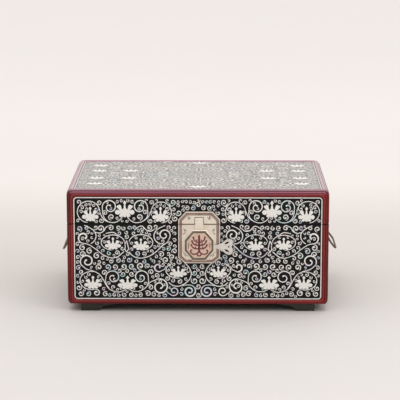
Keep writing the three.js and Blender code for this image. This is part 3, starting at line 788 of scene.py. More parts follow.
CASE_RINGS = [
    (112.7, 242.9, 11.7, 7.8, 268, -266), (140.9, 242.7, 11.9, 8.0, 272, 266),
    (91.2, 281.0, 11.5, 9.4, 75, 215), (178.0, 270.6, 12.2, 8.0, 118, 160)]
CASE_SCROLLS = [
    (84.0, 238.0, 6.3, 235, -0.8, 2.1,
     [(108.0, 257.4), (102.4, 254.9), (95.4, 249.4), (88.4, 245.0), (82.4, 243.6)]),
    (164.2, 235.4, 6.2, -40, 1.35, 1.35, [(158.5, 249.8), (163.0, 245.6), (167.4, 242.4)]),
    (87.0, 261.8, 7.0, 205, -1.3, 1.6,
     [(126.2, 289.9), (119.8, 292.3), (114.3, 291.7), (109.2, 289.4), (105.8, 285.0), (103.0, 279.6),
      (99.2, 274.7), (93.0, 271.4), (86.6, 269.6), (81.9, 265.9)]),
    (113.0, 277.8, 7.5, 188, -1.4, 1.2, [(109.2, 288.7), (106.6, 285.2), (105.4, 281.4)]),
    (141.0, 277.6, 7.5, -10, 1.4, 1.2,
     [(128.6, 289.6), (133.4, 291.6), (139.0, 291.6), (144.4, 289.0), (148.2, 284.2)]),
    (160.0, 287.0, 8.4, 125, -1.6, 1.55, [(145.6, 288.2), (149.6, 283.0)]),
    (158.4, 267.5, 5.0, -40, -1.0, 1.7, [(166.2, 266.0), (164.4, 269.6)]),
    (189.6, 291.4, 6.3, 75, -1.6, 1.75, [(181.8, 286.2), (186.4, 285.2)]),
    (173.8, 291.4, 5.0, 215, 1.3, 1.3, [(166.0, 290.6), (167.6, 292.8)])]
CASE_STEMS = [
    [(84.0, 225.6), (91.3, 229.2), (95.2, 233.4), (95.8, 237.6), (93.9, 241.6), (90.6, 244.2)],
    [(107.2, 257.2), (112.0, 258.3), (117.4, 257.2), (121.6, 254.0), (124.2, 251.6)],
    [(129.0, 251.8), (131.3, 255.0), (135.4, 257.6), (140.6, 258.5), (146.0, 257.6), (151.6, 255.2),
     (157.0, 251.2), (161.2, 246.9), (165.4, 243.4)],
    [(165.4, 225.6), (158.0, 229.2), (154.2, 234.2), (154.8, 239.8), (158.6, 243.4), (163.4, 244.2)],
    [(124.6, 242.4), (125.2, 246.8), (124.9, 249.4), (126.4, 251.8), (128.4, 249.4), (127.8, 246.0),
     (126.5, 241.2), (125.4, 244.2)],
    [(134.0, 230.6), (138.6, 227.2), (142.0, 226.4), (144.2, 228.4), (147.0, 230.8), (150.8, 231.5),
     (154.4, 229.6)],
    [(94.4, 232.4), (99.4, 233.4), (103.6, 231.4), (105.4, 228.2), (108.0, 226.4)],
    [(105.4, 234.0), (108.4, 233.2), (113.0, 232.8), (117.0, 235.0)],
    [(183.9, 262.4), (188.8, 267.4), (191.2, 273.4), (189.6, 279.4), (184.6, 284.0), (178.6, 286.5),
     (172.6, 285.6), (168.6, 282.6)]]
CASE_FLOWERS = [
    (112.9, 249.8, 16.2, 12.6), (140.9, 250.4, 16.2, 12.2), (92.9, 289.2, 17.6, 13.6),
    (127.6, 289.6, 20.0, 14.0), (178.3, 277.4, 17.4, 11.6)]
CASE_CURLS = [
    (79.2, 229.3, 2.7), (85.9, 228.2, 2.1), (95.3, 228.0, 2.2), (100.6, 228.8, 3.1), (110.7, 228.2, 2.7),
    (118.0, 228.2, 2.5), (123.6, 228.6, 2.2), (129.2, 228.4, 2.2), (134.0, 228.0, 2.0), (141.8, 229.4, 1.9),
    (149.3, 227.9, 2.7), (82.6, 239.2, 1.9), (88.0, 241.4, 1.7), (91.7, 237.8, 1.4), (91.5, 233.5, 1.4),
    (82.3, 248.0, 3.1), (82.3, 254.6, 2.9), (89.4, 251.4, 3.0), (96.6, 256.2, 3.1), (97.2, 243.3, 2.0),
    (99.2, 239.6, 1.5), (98.8, 235.9, 1.6), (98.7, 248.0, 2.0), (103.0, 251.3, 1.9), (109.1, 253.7, 2.2),
    (117.1, 253.2, 2.4), (122.3, 248.8, 2.0), (110.2, 231.6, 1.6), (118.9, 233.4, 2.1), (126.4, 232.6, 1.8),
    (126.4, 236.9, 2.3), (133.8, 233.6, 2.0), (142.1, 233.0, 1.7), (149.6, 235.2, 1.7), (103.8, 235.8, 1.1),
    (157.7, 233.0, 1.5), (158.0, 238.2, 1.8), (108.4, 237.8, 1.4), (116.8, 238.0, 1.4), (104.2, 242.6, 1.7),
    (121.2, 242.7, 1.4), (136.3, 238.2, 1.6), (144.6, 238.0, 1.6), (131.6, 243.2, 1.6), (149.4, 243.0, 1.6),
    (102.8, 258.6, 2.2), (98.8, 267.6, 3.0), (104.2, 273.2, 2.7), (98.9, 262.3, 2.0), (94.6, 263.6, 1.5),
    (103.8, 263.4, 1.6), (107.8, 267.6, 2.9), (91.6, 267.8, 1.5), (110.9, 261.6, 2.3), (118.0, 260.9, 2.5),
    (124.0, 258.0, 1.8), (81.2, 272.4, 2.3), (114.9, 267.4, 2.8), (123.6, 267.0, 3.0), (122.7, 274.6, 2.5),
    (131.7, 274.4, 2.5), (131.6, 266.8, 2.9), (140.4, 266.4, 3.4), (147.4, 266.4, 2.6), (153.0, 261.6, 2.0),
    (151.0, 272.4, 2.6), (129.2, 260.2, 2.6), (137.2, 253.9, 2.6), (144.0, 254.2, 2.3), (135.9, 261.6, 2.0),
    (143.8, 262.0, 2.2), (151.4, 251.6, 1.9), (150.4, 259.6, 1.9), (156.0, 257.0, 1.8), (154.6, 247.7, 1.9),
    (131.6, 249.9, 1.8), (158.8, 262.2, 1.5), (161.2, 254.6, 2.8), (163.4, 249.4, 1.9), (165.6, 260.4, 3.0),
    (168.4, 249.0, 2.4), (172.0, 257.2, 2.7), (168.2, 254.0, 1.9), (162.6, 275.2, 1.6), (152.4, 277.3, 1.6),
    (159.9, 281.2, 1.8), (164.2, 284.8, 1.5), (154.6, 282.6, 1.5), (108.7, 283.8, 1.9), (113.3, 287.6, 2.1),
    (103.8, 289.4, 1.8), (121.2, 288.6, 1.5), (133.6, 288.6, 1.4), (140.9, 287.6, 2.2), (145.4, 284.0, 1.8),
    (86.0, 277.6, 1.7), (98.4, 277.6, 1.5), (82.4, 281.4, 1.6), (80.8, 294.0, 2.7), (88.3, 294.2, 2.6),
    (96.4, 293.2, 3.3), (105.5, 294.4, 2.6), (114.5, 295.3, 2.1), (124.3, 295.0, 2.4), (130.9, 295.0, 2.4),
    (140.2, 295.2, 2.3), (147.8, 293.9, 2.9), (173.8, 264.4, 1.7), (168.4, 270.2, 1.6), (183.0, 266.2, 1.4),
    (187.8, 271.8, 1.5), (172.6, 280.8, 2.2), (179.6, 281.8, 2.5), (186.0, 279.0, 1.8), (194.4, 266.6, 2.5),
    (194.5, 273.2, 2.6), (194.4, 281.0, 3.2), (181.6, 289.6, 1.7), (181.4, 294.6, 2.1), (169.0, 227.8, 2.2),
    (174.4, 228.2, 1.9), (174.6, 234.0, 1.9), (174.4, 240.6, 2.0), (174.4, 246.6, 2.0), (168.8, 264.8, 1.6)]

PHOTO_PARTS = (  # body, what the photograph shows on it, and on which side its seam lies
    ("lid", (LID_RINGS, LID_SCROLLS, LID_STEMS, LID_FLOWERS, LID_CURLS), "low"),
    ("case", (CASE_RINGS, CASE_SCROLLS, CASE_STEMS, CASE_FLOWERS, CASE_CURLS), "high"))

PETALS = [  # root and tip in shares of the flower's width and height, half width in its width, notched
    ((-0.04, 0.32), (-0.50, 0.29), 0.145, False), ((0.04, 0.32), (0.50, 0.29), 0.145, False),
    ((-0.10, 0.24), (-0.345, 0.74), 0.118, True), ((0.10, 0.24), (0.345, 0.74), 0.118, True),
    ((-0.03, 0.36), (-0.24, 0.02), 0.100, False), ((0.03, 0.36), (0.24, 0.02), 0.100, False),
    ((0.0, 0.08), (0.0, 0.53), 0.150, False), ((0.0, 0.40), (0.0, 0.0), 0.090, False)]
FLOWER_STEM = [
    (-0.13, 0.34), (0.13, 0.34), (0.06, 0.55), (0.032, 0.76), (0.088, 0.86), (0.045, 0.94), (0.0, 1.0),
    (-0.045, 0.94), (-0.088, 0.86), (-0.032, 0.76), (-0.06, 0.55)]
FLOWER_BASE_DISCS = (-0.36, -0.18, 0.0, 0.18, 0.36)  # the room a flower takes, as discs along its base
FLOWER_BASE_RISE = 0.27
FLOWER_BASE_REACH = 0.2
FLOWER_TOP_DISCS = ((-0.24, 0.56, 0.1), (0.24, 0.56, 0.1), (0.0, 0.72, 0.08), (0.0, 0.86, 0.1))


def from_photo(x, y):
    """A pixel on the front as millimetres across and up, with the camera's slight fall-off downwards."""
    right, down = x - FRAME_PIXELS / 2, y - FRAME_PIXELS / 2
    up = CAMERA_TARGET.z - down / FIRST_SCALE
    for _ in range(3):
        scale = FOCAL_PIXELS / (CAMERA_DISTANCE + math.sin(PITCH) * (CAMERA_TARGET.z - up))
        up = CAMERA_TARGET.z - down / (scale * math.cos(PITCH))
    return CAMERA_TARGET.x + right / scale, up


FIRST_SCALE = 0.89  # pixels in a millimetre upwards, a first guess
PHOTO_PITCH = CAMERA_DISTANCE / FOCAL_PIXELS  # millimetres in a pixel at the front
MIDLINE = from_photo(PHOTO_MIDLINE, FRAME_PIXELS / 2)[0]
FRONT_FIELD_LEFT = -CORE_X + BEAD_GAP + BEAD_WIDTH + PANEL_CLEARANCE


class Layout:
    """One panel's inlay in its own u and v: lines, flowers and curls, with room kept between them."""

    def __init__(self, u_half, v_low, v_high, keep_out=(), seam_side=None):
        self.u_half, self.v_low, self.v_high = u_half, v_low, v_high
        self.keep_out, self.seam_side = keep_out, seam_side
        self.lines = []
        self.flowers = []
        self.curls = []

    def line(self, points, width, weight=1.0, bulb=0.0, swell=0.15):
        """A stroke: its full weight comes past the swell's share of its length, its bud at the end."""
        self.lines.append((np.array(points, float), width, weight, bulb, swell))

    def scroll(self, stem, curl, width, weight):
        """A stem that runs on into a spiral."""
        lead = smooth_path([*stem, tuple(curl[0]), tuple(curl[2])])
        whole = np.concatenate([lead[:-1], curl[2:]])
        along = lengths_along(whole)
        self.line(whole, width, weight, 0.9, 0.9 * along[len(lead) - 1] / along[-1] - 0.05)

    def mirror(self, u_mid):
        """Adds the other half of everything laid so far."""
        for points, *stroke in list(self.lines):
            self.lines.append((np.array([2 * u_mid, 0]) + points * np.array([-1, 1]), *stroke))
        self.flowers += [(2 * u_mid - u, *rest) for u, *rest in self.flowers]
        self.curls += [(2 * u_mid - u, v, r) for u, v, r in self.curls]

    def shift_back(self, distance):
        self.lines = [(points + np.array([0, distance]), *stroke) for points, *stroke in self.lines]
        self.flowers = [(u, v + distance, *size) for u, v, *size in self.flowers]

    def drop_hidden_flowers(self):
        """Leaves out the flowers that a fitting would half cover."""
        self.flowers = [
            (u, v, width, height) for u, v, width, height in self.flowers
            if all(max(u_low - u, u - u_high, v_low - v - height, v - v_high) > min(width / 2, FLOWER_ROOM)
                   for u_low, u_high, v_low, v_high, _ in self.keep_out)]

    def border_room(self, u, v):
        """How far places lie from the panel's border and from what is to be kept free."""
        below = SEAM_MARGIN if self.seam_side == "low" else FIELD_MARGIN
        above = SEAM_MARGIN if self.seam_side == "high" else FIELD_MARGIN
        room = np.minimum(self.u_half - FIELD_MARGIN - np.abs(u),
                          np.minimum(v - self.v_low - below, self.v_high - above - v))
        for u_low, u_high, v_low, v_high, cut in self.keep_out:
            gap_u = np.maximum(u_low - u, u - u_high)
            gap_v = np.maximum(v_low - v, v - v_high)
            diagonal = (gap_u + gap_v + cut) / math.sqrt(2)
            room = np.minimum(room, np.maximum(np.maximum(gap_u, gap_v), diagonal) - CURL_GAP)
        return room

    def obstacles(self):
        """Discs that cover the lines and flowers: places and radii."""
        discs = []
        for points, *stroke in self.lines:
            discs += [(u, v, w / 2) for (u, v), w in zip(points, stroke_widths(points, *stroke))]
        for u, v, width, height in self.flowers:
            for share in FLOWER_BASE_DISCS:
                discs.append((u + share * width, v + FLOWER_BASE_RISE * height, FLOWER_BASE_REACH * height))
            for share, rise, radius in FLOWER_TOP_DISCS:
                discs.append((u + share * width, v + rise * height, radius * width))
        return np.array(discs)

    def fit_curls(self, smallest):
        """The laid curls that have room, made smaller where they have less than their size."""
        kept = []
        for u, v, r in self.curls:
            room = float(self.border_room(np.array(u), np.array(v)))
            if kept:
                room = min(room, min(math.hypot(u - a, v - b) - c for a, b, c in kept) - LAID_CURL_GAP)
            if room > 0.8 * smallest:
                kept.append((u, v, min(r, room)))
        return kept

    def fill(self, largest, smallest, seed):
        """Fits the laid curls to their room, then packs further ones into what is left, largest first."""
        discs = self.obstacles()
        kept = self.fit_curls(smallest)
        rng = np.random.default_rng(seed)
        us = np.arange(-self.u_half, self.u_half, GRID_STEP)
        vs = np.arange(self.v_low, self.v_high, GRID_STEP)
        grid = np.stack(np.meshgrid(us, vs), -1).reshape(-1, 2)
        grid = grid + rng.uniform(-GRID_JITTER, GRID_JITTER, grid.shape)
        room = self.border_room(grid[:, 0], grid[:, 1])
        grid, room = grid[room > smallest], room[room > smallest]
        for block in range(0, len(discs), DISCS_AT_ONCE):
            part = discs[block:block + DISCS_AT_ONCE]
            away = np.linalg.norm(grid[:, None] - part[None, :, :2], axis=2) - part[None, :, 2] - CURL_GAP
            room = np.minimum(room, away.min(1))
        for u, v, r in kept:
            room = np.minimum(room, np.hypot(grid[:, 0] - u, grid[:, 1] - v) - r - CURL_GAP)
        while len(grid):
            best = int(np.argmax(np.minimum(room, largest) + rng.uniform(0, 0.05, len(room))))
            r = min(room[best], largest)
            if r < smallest:
                break
            u, v = grid[best]
            kept.append((float(u), float(v), float(r)))
            room = np.minimum(room, np.hypot(grid[:, 0] - u, grid[:, 1] - v) - r - CURL_GAP)
        self.curls = kept


def photo_scroll(layout, rings, scrolls, stems, flowers, curls, shift=0.0, inner_limit=None):
    """Lays the front's left half, moved sideways; inner_limit leaves out what reaches past it."""
    def fits(points):
        return inner_limit is None or max(u for u, _ in points) < inner_limit

    def moved(x, y):
        u, v = from_photo(x, y)
        return u + shift, v

    width = LINE_PIXELS * PHOTO_PITCH
    for x, y, rx, ry, start, sweep in rings:
        u, v = moved(x, y)
        arc = ellipse_arc(u, v, rx * PHOTO_PITCH, ry * PHOTO_PITCH, start, sweep)
        if fits(arc):
            layout.line(arc, width * 0.9)
    for x, y, radius, start, turns, weight, stem in scrolls:
        u, v = moved(x, y)
        curl = spiral(u, v, radius * PHOTO_PITCH, start, turns)
        root = [moved(*p) for p in stem]
        if fits(curl):
            layout.scroll(root, curl, width, weight)
    for stem in stems:
        points = [moved(*p) for p in stem]
        if fits(points):
            layout.line(smooth_path(points), width)
    for x, y, across, tall in flowers:
        u, v = moved(x, y)
        if fits([(u + across * PHOTO_PITCH / 2, v)]):
            layout.flowers.append((u, v, across * PHOTO_PITCH, tall * PHOTO_PITCH))
    for x, y, radius in curls:
        u, v = moved(x, y)
        if fits([(u + radius * PHOTO_PITCH, v)]):
            layout.curls.append((u, v, radius * PHOTO_PITCH))


# Curls: a Geometry Nodes tree grows one small spiral at every point of a cloud.
def float_curve(tree, factor, stops):
    curve = node(tree, "ShaderNodeFloatCurve", {"Value": factor})
    line = curve.mapping.curves[0]
    for place, value in stops[1:-1]:
        line.points.new(place, value)
    for point, (place, value) in zip(line.points, stops):
        point.location = (place, value)
    curve.mapping.update()
    return curve.outputs["Value"]


CURL_SIZES = ((1.75, 0.8, 0.92), (2.45, 1.05, 0.76), (99.0, 1.3, 0.64))  # up to this radius: turns, weight
CURL_KINDS = [(hand, turns, weight) for _, turns, weight in CURL_SIZES for hand in (1, -1)]
CURL_TAIL = 1.12
CURL_REACH = [(0.0, 0.02), (0.12, 0.16), (0.3, 0.42), (0.55, 0.68), (0.82, 0.84), (1.0, 1.0)]
CURL_WIDTH = [(0.0, 0.25), (0.055, 0.88), (0.14, 0.84), (0.26, 0.52), (0.6, 0.56), (0.86, 0.42), (1.0, 0.12)]


def make_curl_tree():
    """At every point a spiral: a round bud in the middle, and a tail that runs out to the line beside it."""
    tree, given, result = group_tree(
        "grow_curls", "GeometryNodeTree",
        [("Geometry", "NodeSocketGeometry", None), ("Steps", "NodeSocketInt", 18),
         ("Rise", "NodeSocketFloat", 0.00004), ("Root", "NodeSocketFloat", 0.0001),
         ("Material", "NodeSocketMaterial", None)],
        [("Geometry", "NodeSocketGeometry")])

    def attribute(name):
        named = node(tree, "GeometryNodeInputNamedAttribute", {"Name": name}, data_type="FLOAT")
        return named.outputs["Attribute"]

    line = node(tree, "GeometryNodeCurvePrimitiveLine", {"End": (0.0, 0.0, 1.0)})
    fine = node(tree, "GeometryNodeResampleCurve", {
        "Curve": line.outputs["Curve"], "Count": given.outputs["Steps"]})
    share = node(tree, "GeometryNodeSplineParameter").outputs["Factor"]
    reach = math_node(tree, "MULTIPLY", float_curve(tree, share, CURL_REACH), CURL_TAIL)
    width = float_curve(tree, share, CURL_WIDTH)

    def one_curl(hand, turns, weight):
        full_turn = turns * hand * 2 * math.pi
        turn = math_node(tree, "MULTIPLY", math_node(tree, "SUBTRACT", 1.0, share), full_turn)
        across = math_node(tree, "MULTIPLY", reach, math_node(tree, "COSINE", turn))
        up = math_node(tree, "MULTIPLY", reach, math_node(tree, "SINE", turn))
        place = node(tree, "ShaderNodeCombineXYZ", {"X": across, "Y": up}).outputs["Vector"]
        shaped = node(tree, "GeometryNodeSetPosition", {"Geometry": fine.outputs["Curve"], "Position": place})
        profile = node(tree, "GeometryNodeCurvePrimitiveQuadrilateral", {"Width": weight, "Height": 0.1})
        mesh = node(tree, "GeometryNodeCurveToMesh", {
            "Curve": shaped.outputs["Geometry"], "Profile Curve": profile.outputs["Curve"], "Scale": width,
            "Fill Caps": True})
        return mesh.outputs["Mesh"]

    turn = node(tree, "ShaderNodeCombineXYZ", {"Z": attribute("turn")})
    rotation = node(tree, "FunctionNodeEulerToRotation", {"Euler": turn.outputs["Vector"]})
    size = attribute("size")
    both = node(tree, "GeometryNodeJoinGeometry")
    for index, kind in enumerate(CURL_KINDS):
        chosen = node(tree, "FunctionNodeCompare", {
            "A": attribute("kind"), "B": float(index), "Epsilon": 0.1}, data_type="FLOAT", operation="EQUAL")
        grown = node(tree, "GeometryNodeInstanceOnPoints", {
            "Points": given.outputs["Geometry"], "Selection": chosen.outputs["Result"],
            "Instance": one_curl(*kind), "Rotation": rotation.outputs["Rotation"], "Scale": size})
        tree.links.new(grown.outputs["Instances"], both.inputs["Geometry"])
    real = node(tree, "GeometryNodeRealizeInstances", {"Geometry": both.outputs["Geometry"]})
    spot = node(tree, "ShaderNodeSeparateXYZ", {"Vector": node(tree, "GeometryNodeInputPosition").outputs[0]})
    above = math_node(tree, "GREATER_THAN", spot.outputs["Z"], 0.0)
    top = math_node(tree, "ADD", given.outputs["Rise"], attribute("lift"))
    root = math_node(tree, "MULTIPLY", given.outputs["Root"], -1.0)
    level = node(tree, "ShaderNodeMix", {0: above, 2: root, 3: top})
    flat = node(tree, "ShaderNodeCombineXYZ", {
        "X": spot.outputs["X"], "Y": spot.outputs["Y"], "Z": level.outputs[0]})
    laid = node(tree, "GeometryNodeSetPosition", {
        "Geometry": real.outputs["Geometry"], "Position": flat.outputs["Vector"]})
    dressed = node(tree, "GeometryNodeSetMaterial", {
        "Geometry": laid.outputs["Geometry"], "Material": given.outputs["Material"]})
    tree.links.new(dressed.outputs["Geometry"], result.inputs["Geometry"])
    return tree


def identifiers(tree):
    """Each named input's socket identifier."""
    return {item.name: item.identifier for item in tree.interface.items_tree
            if item.item_type == "SOCKET" and item.in_out == "INPUT"}


def cloud(name, places, numbers):
    """A mesh of loose points in metres, with named numbers at each."""
    mesh = bpy.data.meshes.new(name)
    mesh.from_pydata([tuple(c * MM for c in p) for p in places], [], [])
    for label, values in numbers.items():
        attribute = mesh.attributes.new(label, "FLOAT", "POINT")
        attribute.data.foreach_set("value", np.array(values, np.float32))
    return put_in_scene(name, mesh)


def grown_mesh(source, tree, inputs):
    """Runs a Geometry Nodes tree on an object and returns the result as a plain mesh."""
    modifier = source.modifiers.new("grow", "NODES")
    modifier.node_group = tree
    names = identifiers(tree)
    for label, value in inputs.items():
        modifier[names[label]] = value
    evaluated = source.evaluated_get(bpy.context.evaluated_depsgraph_get())
    mesh = bpy.data.meshes.new_from_object(evaluated)
    source.modifiers.remove(modifier)
    bpy.data.objects.remove(source)
    return mesh


CURL_TREE = make_curl_tree()
CURL_LIFT = 0.012  # no two curls end at quite the same height
LINE_IN_REACH = 3.2  # a curl turns to a line that lies within so many of its radii
WHITE_END = 0.46
TINTS_START = 0.5


def shell_tint(rng, white_share, tints_end):
    """A place on the shell's range of colours: often in its white, else among its tints."""
    if rng.random() < white_share:
        return rng.uniform(0.0, WHITE_END)
    return rng.uniform(TINTS_START, tints_end)


def curl_mesh(layout, name, seed, shell):
    """Turns each curl's outer end towards the line beside it, so that it seems to grow from it."""
    rng = random.Random(seed)
    stems = np.concatenate([points for points, *_ in layout.lines])
    ways = np.concatenate([np.gradient(points, axis=0) for points, *_ in layout.lines])
    turn, kind, tint, lift = [], [], [], []
    for u, v, r in layout.curls:
        away = np.hypot(stems[:, 0] - u, stems[:, 1] - v)
        near = int(np.argmin(away))
        towards = stems[near] - np.array([u, v])
        if away[near] > LINE_IN_REACH * r:
            towards = np.array([rng.uniform(-1, 1), rng.uniform(-1, 1)])
        side = 1 if towards[0] * ways[near][1] - towards[1] * ways[near][0] > 0 else -1
        turn.append(math.atan2(towards[1], towards[0]) - side * rng.uniform(0.0, 0.5))
        step = next(i for i, (limit, _, _) in enumerate(CURL_SIZES) if r <= limit)
        kind.append(2 * step + (0 if side > 0 else 1))
        tint.append(shell_tint(rng, 0.76, 0.86))
        lift.append(rng.uniform(0, CURL_LIFT) * MM)
    places = [(u, v, 0) for u, v, _ in layout.curls]
    size = [r * MM for _, _, r in layout.curls]
    points = cloud(name, places, {"turn": turn, "kind": kind, "tint": tint, "lift": lift, "size": size})
    return grown_mesh(points, CURL_TREE, {"Material": shell})


def petal(root, tip, half_width, notched):
    """A petal's outline: narrow at its root, broad and round, or softly notched, at its end."""
    root, tip = np.array(root), np.array(tip)
    length = np.linalg.norm(tip - root)
    along = (tip - root) / length
    across = np.array([-along[1], along[0]])
    swell = half_width / length
    edge = []
    for t in np.linspace(0, 1, 9):
        edge.append((t * (1 - swell), half_width * (0.46 + 0.54 * t ** 2.2)))
    for angle in np.linspace(80, 10 if notched else 0, 6):
        dip = 0.30 * math.exp(-(angle / 18) ** 2) if notched else 0.0
        edge.append((1 - swell + swell * (1 - dip) * math.cos(math.radians(angle)),
                     half_width * math.sin(math.radians(angle))))
    if notched:
        edge.append((1 - 0.45 * swell, 0.0))
    outline = edge + [(a, -h) for a, h in reversed(edge[:-1])]
    return [root + along * a * length + across * h for a, h in outline]


def add_island(skin, outline, tint, rise, crown=0.03):
    """A flat closed piece with a softened edge, slightly crowned."""
    middle = np.mean(outline, axis=0)
    area = sum(a[0] * b[1] - b[0] * a[1] for a, b in zip(outline, outline[1:] + outline[:1]))
    if area < 0:
        outline = outline[::-1]

    def ring(share, height):
        return [(*(middle + (np.array(p) - middle) * share), height) for p in outline]

    loops = [ring(1, -PEARL_ROOT), ring(1, rise), ring(0.9, rise + crown * 0.6), ring(0.55, rise + crown)]
    points, faces = loft(loops)
    skin.add(points, faces, tint)


def add_flower(skin, u, v, width, height, rng):
    scale = np.array([width, height])

    def laid(outline):
        return [tuple(np.array([u, v]) + np.array(p) * scale) for p in outline]

    for i, (root, tip, half_width, notched) in enumerate(PETALS):
        tint = rng.choice((0.04, 0.14, 0.22, 0.30)) + rng.uniform(-0.03, 0.03)
        add_island(skin, laid(petal(root, tip, half_width, notched)), tint, 0.05 + 0.006 * i)
    add_island(skin, laid(FLOWER_STEM), 0.05, 0.11)


def border_ribbon(skin, u_half, v_low, v_high, seam_side=None):
    """The pearl line just inside the bead, all round or open towards the seam."""
    inset = PEARL_LINE_INSET + PEARL_LINE / 2
    radius = INNER_RADIUS - PANEL_CLEARANCE - inset
    low = v_low + (PEARL_LINE_INSET if seam_side == "low" else inset)
    high = v_high - (PEARL_LINE_INSET if seam_side == "high" else inset)
    if seam_side is None:
        ring = rounded_rectangle(-u_half + inset, u_half - inset, low, high, radius)
        line = np.array([*ring, ring[0]])
    else:
        bottom = low - PAST_SEAM if seam_side == "low" else low
        top = high + PAST_SEAM if seam_side == "high" else high
        ring = rounded_rectangle(-u_half + inset, u_half - inset, bottom, top, radius)
        wanted = [v < high if seam_side == "high" else v > low for _, v in ring]
        count = len(ring)
        start = next(i for i in range(count) if wanted[i] and not wanted[i - 1])
        run = [ring[(start + k) % count] for k in range(count) if wanted[(start + k) % count]]
        seam = high if seam_side == "high" else low
        line = np.array([(run[0][0], seam), *run, (run[-1][0], seam)])
    add_ribbon(skin, line, np.full(len(line), PEARL_LINE), 0.08, 0.06)


def build_inlay(name, body, face, layout, seed, shell=PEARL):
    """One panel's pearl line with its scrolls, its curls and its flowers, as three pieces."""
    rng = random.Random(seed)
    skin = Skin()
    border_ribbon(skin, layout.u_half, layout.v_low, layout.v_high, layout.seam_side)
    for points, *stroke in layout.lines:
        tint = shell_tint(rng, 0.72, 0.88)
        add_ribbon(skin, points, stroke_widths(points, *stroke), tint, PEARL_RISE + rng.uniform(0, 0.02))
    place = face.place(PANEL_RISE)
    scrolls = skin.build(f"inlay_{name}_scrolls", [shell], "tint", place)
    finish_piece(scrolls, body, "shell")
    mesh = curl_mesh(layout, f"inlay_{name}_curls", seed, shell)
    mesh.transform(place)
    curls = put_in_scene(f"inlay_{name}_curls", mesh)
    outward(curls)
    finish_piece(curls, body, "shell")
    petals = Skin()
    for u, v, width, height in layout.flowers:
        add_flower(petals, u, v, width, height, rng)
    flowers = petals.build(f"inlay_{name}_flowers", [PEARL_FLOWER], "tint", place, smooth=30)
    finish_piece(flowers, body, "shell")


def panel_layout(part, side, keep_out=(), seam_side=None):
    """An empty layout as large as the panel's field inside the beads."""
    low, high = low_high(f"{part}_{side}_panel")
    face = FACES[side]
    across = [abs(Vector(corner).dot(face.u)) for corner in (low, high)]
    if side == "top":
        return Layout(max(across), low.y, high.y, keep_out)
    v_high = high.z - BEAD_TOP_EXTRA if part == "lid" else high.z
    return Layout(max(across), low.z, v_high, keep_out, seam_side)


KEY_HEAD = 9.5  # no curls show through the slits in the key's head
KEY_CUT = 3.0
LARGEST_CURL = 2.9
SMALLEST_CURL = 1.6
SIDE_LIMIT = -1.5  # the sides take the front's pattern as far as this from their middle
ROSETTE_CUT = 0.58


def lock_and_key_room():
    """Boxes on the front that the lock plate and the key's head cover, with how far their corners are cut."""
    plate_low, plate_high = low_high("case_lock_plate")
    lid_plate_high = low_high("lid_lock_plate")[1]
    key_low, key_high = low_high("key")
    return [(plate_low.x, plate_high.x, plate_low.z, lid_plate_high.z, PLATE_CUT),
            (key_high.x - KEY_HEAD, key_high.x - 1.0, key_low.z - 1.0, key_high.z - 3.0, KEY_CUT)]


def hinge_room():
    leaf_low, leaf_high = low_high("hinge_right_case_leaf")
    leaf_top = low_high("hinge_right_lid_leaf")[1].z
    middle = (leaf_low.x + leaf_high.x) / 2
    half = (leaf_high.x - leaf_low.x) / 2
    return [(sign * middle - half, sign * middle + half, leaf_low.z, leaf_top, 0.0) for sign in (-1, 1)]


def front_and_back():
    for side, keep_out, middle in (("front", lock_and_key_room(), MIDLINE), ("back", hinge_room(), 0.0)):
        for part, pieces, seam_side in PHOTO_PARTS:
            layout = panel_layout(part, side, keep_out, seam_side)
            photo_scroll(layout, *pieces, shift=middle - MIDLINE)
            layout.mirror(middle)
            layout.fill(LARGEST_CURL, SMALLEST_CURL, seed=len(part) + len(side))
            build_inlay(f"{part}_{side}", part, FACES[side], layout, 10 + len(part) + len(side))


def left_and_right():
    reach = ROSETTE_RADIUS + CURL_GAP
    rosettes = [(sign * POST_SPACING / 2 - reach, sign * POST_SPACING / 2 + reach,
                 POST_HEIGHT - reach, POST_HEIGHT + reach, reach * ROSETTE_CUT) for sign in (-1, 1)]
    for side in ("left", "right"):
        for part, pieces, seam_side in PHOTO_PARTS:
            layout = panel_layout(part, side, rosettes, seam_side)
            shift = -layout.u_half - FRONT_FIELD_LEFT
            photo_scroll(layout, *pieces, shift=shift, inner_limit=SIDE_LIMIT)
            layout.mirror(0.0)
            layout.drop_hidden_flowers()
            layout.fill(LARGEST_CURL, SMALLEST_CURL, seed=20 + len(part) + len(side))
            build_inlay(f"{part}_{side}", part, FACES[side], layout, 30 + len(part) + len(side))


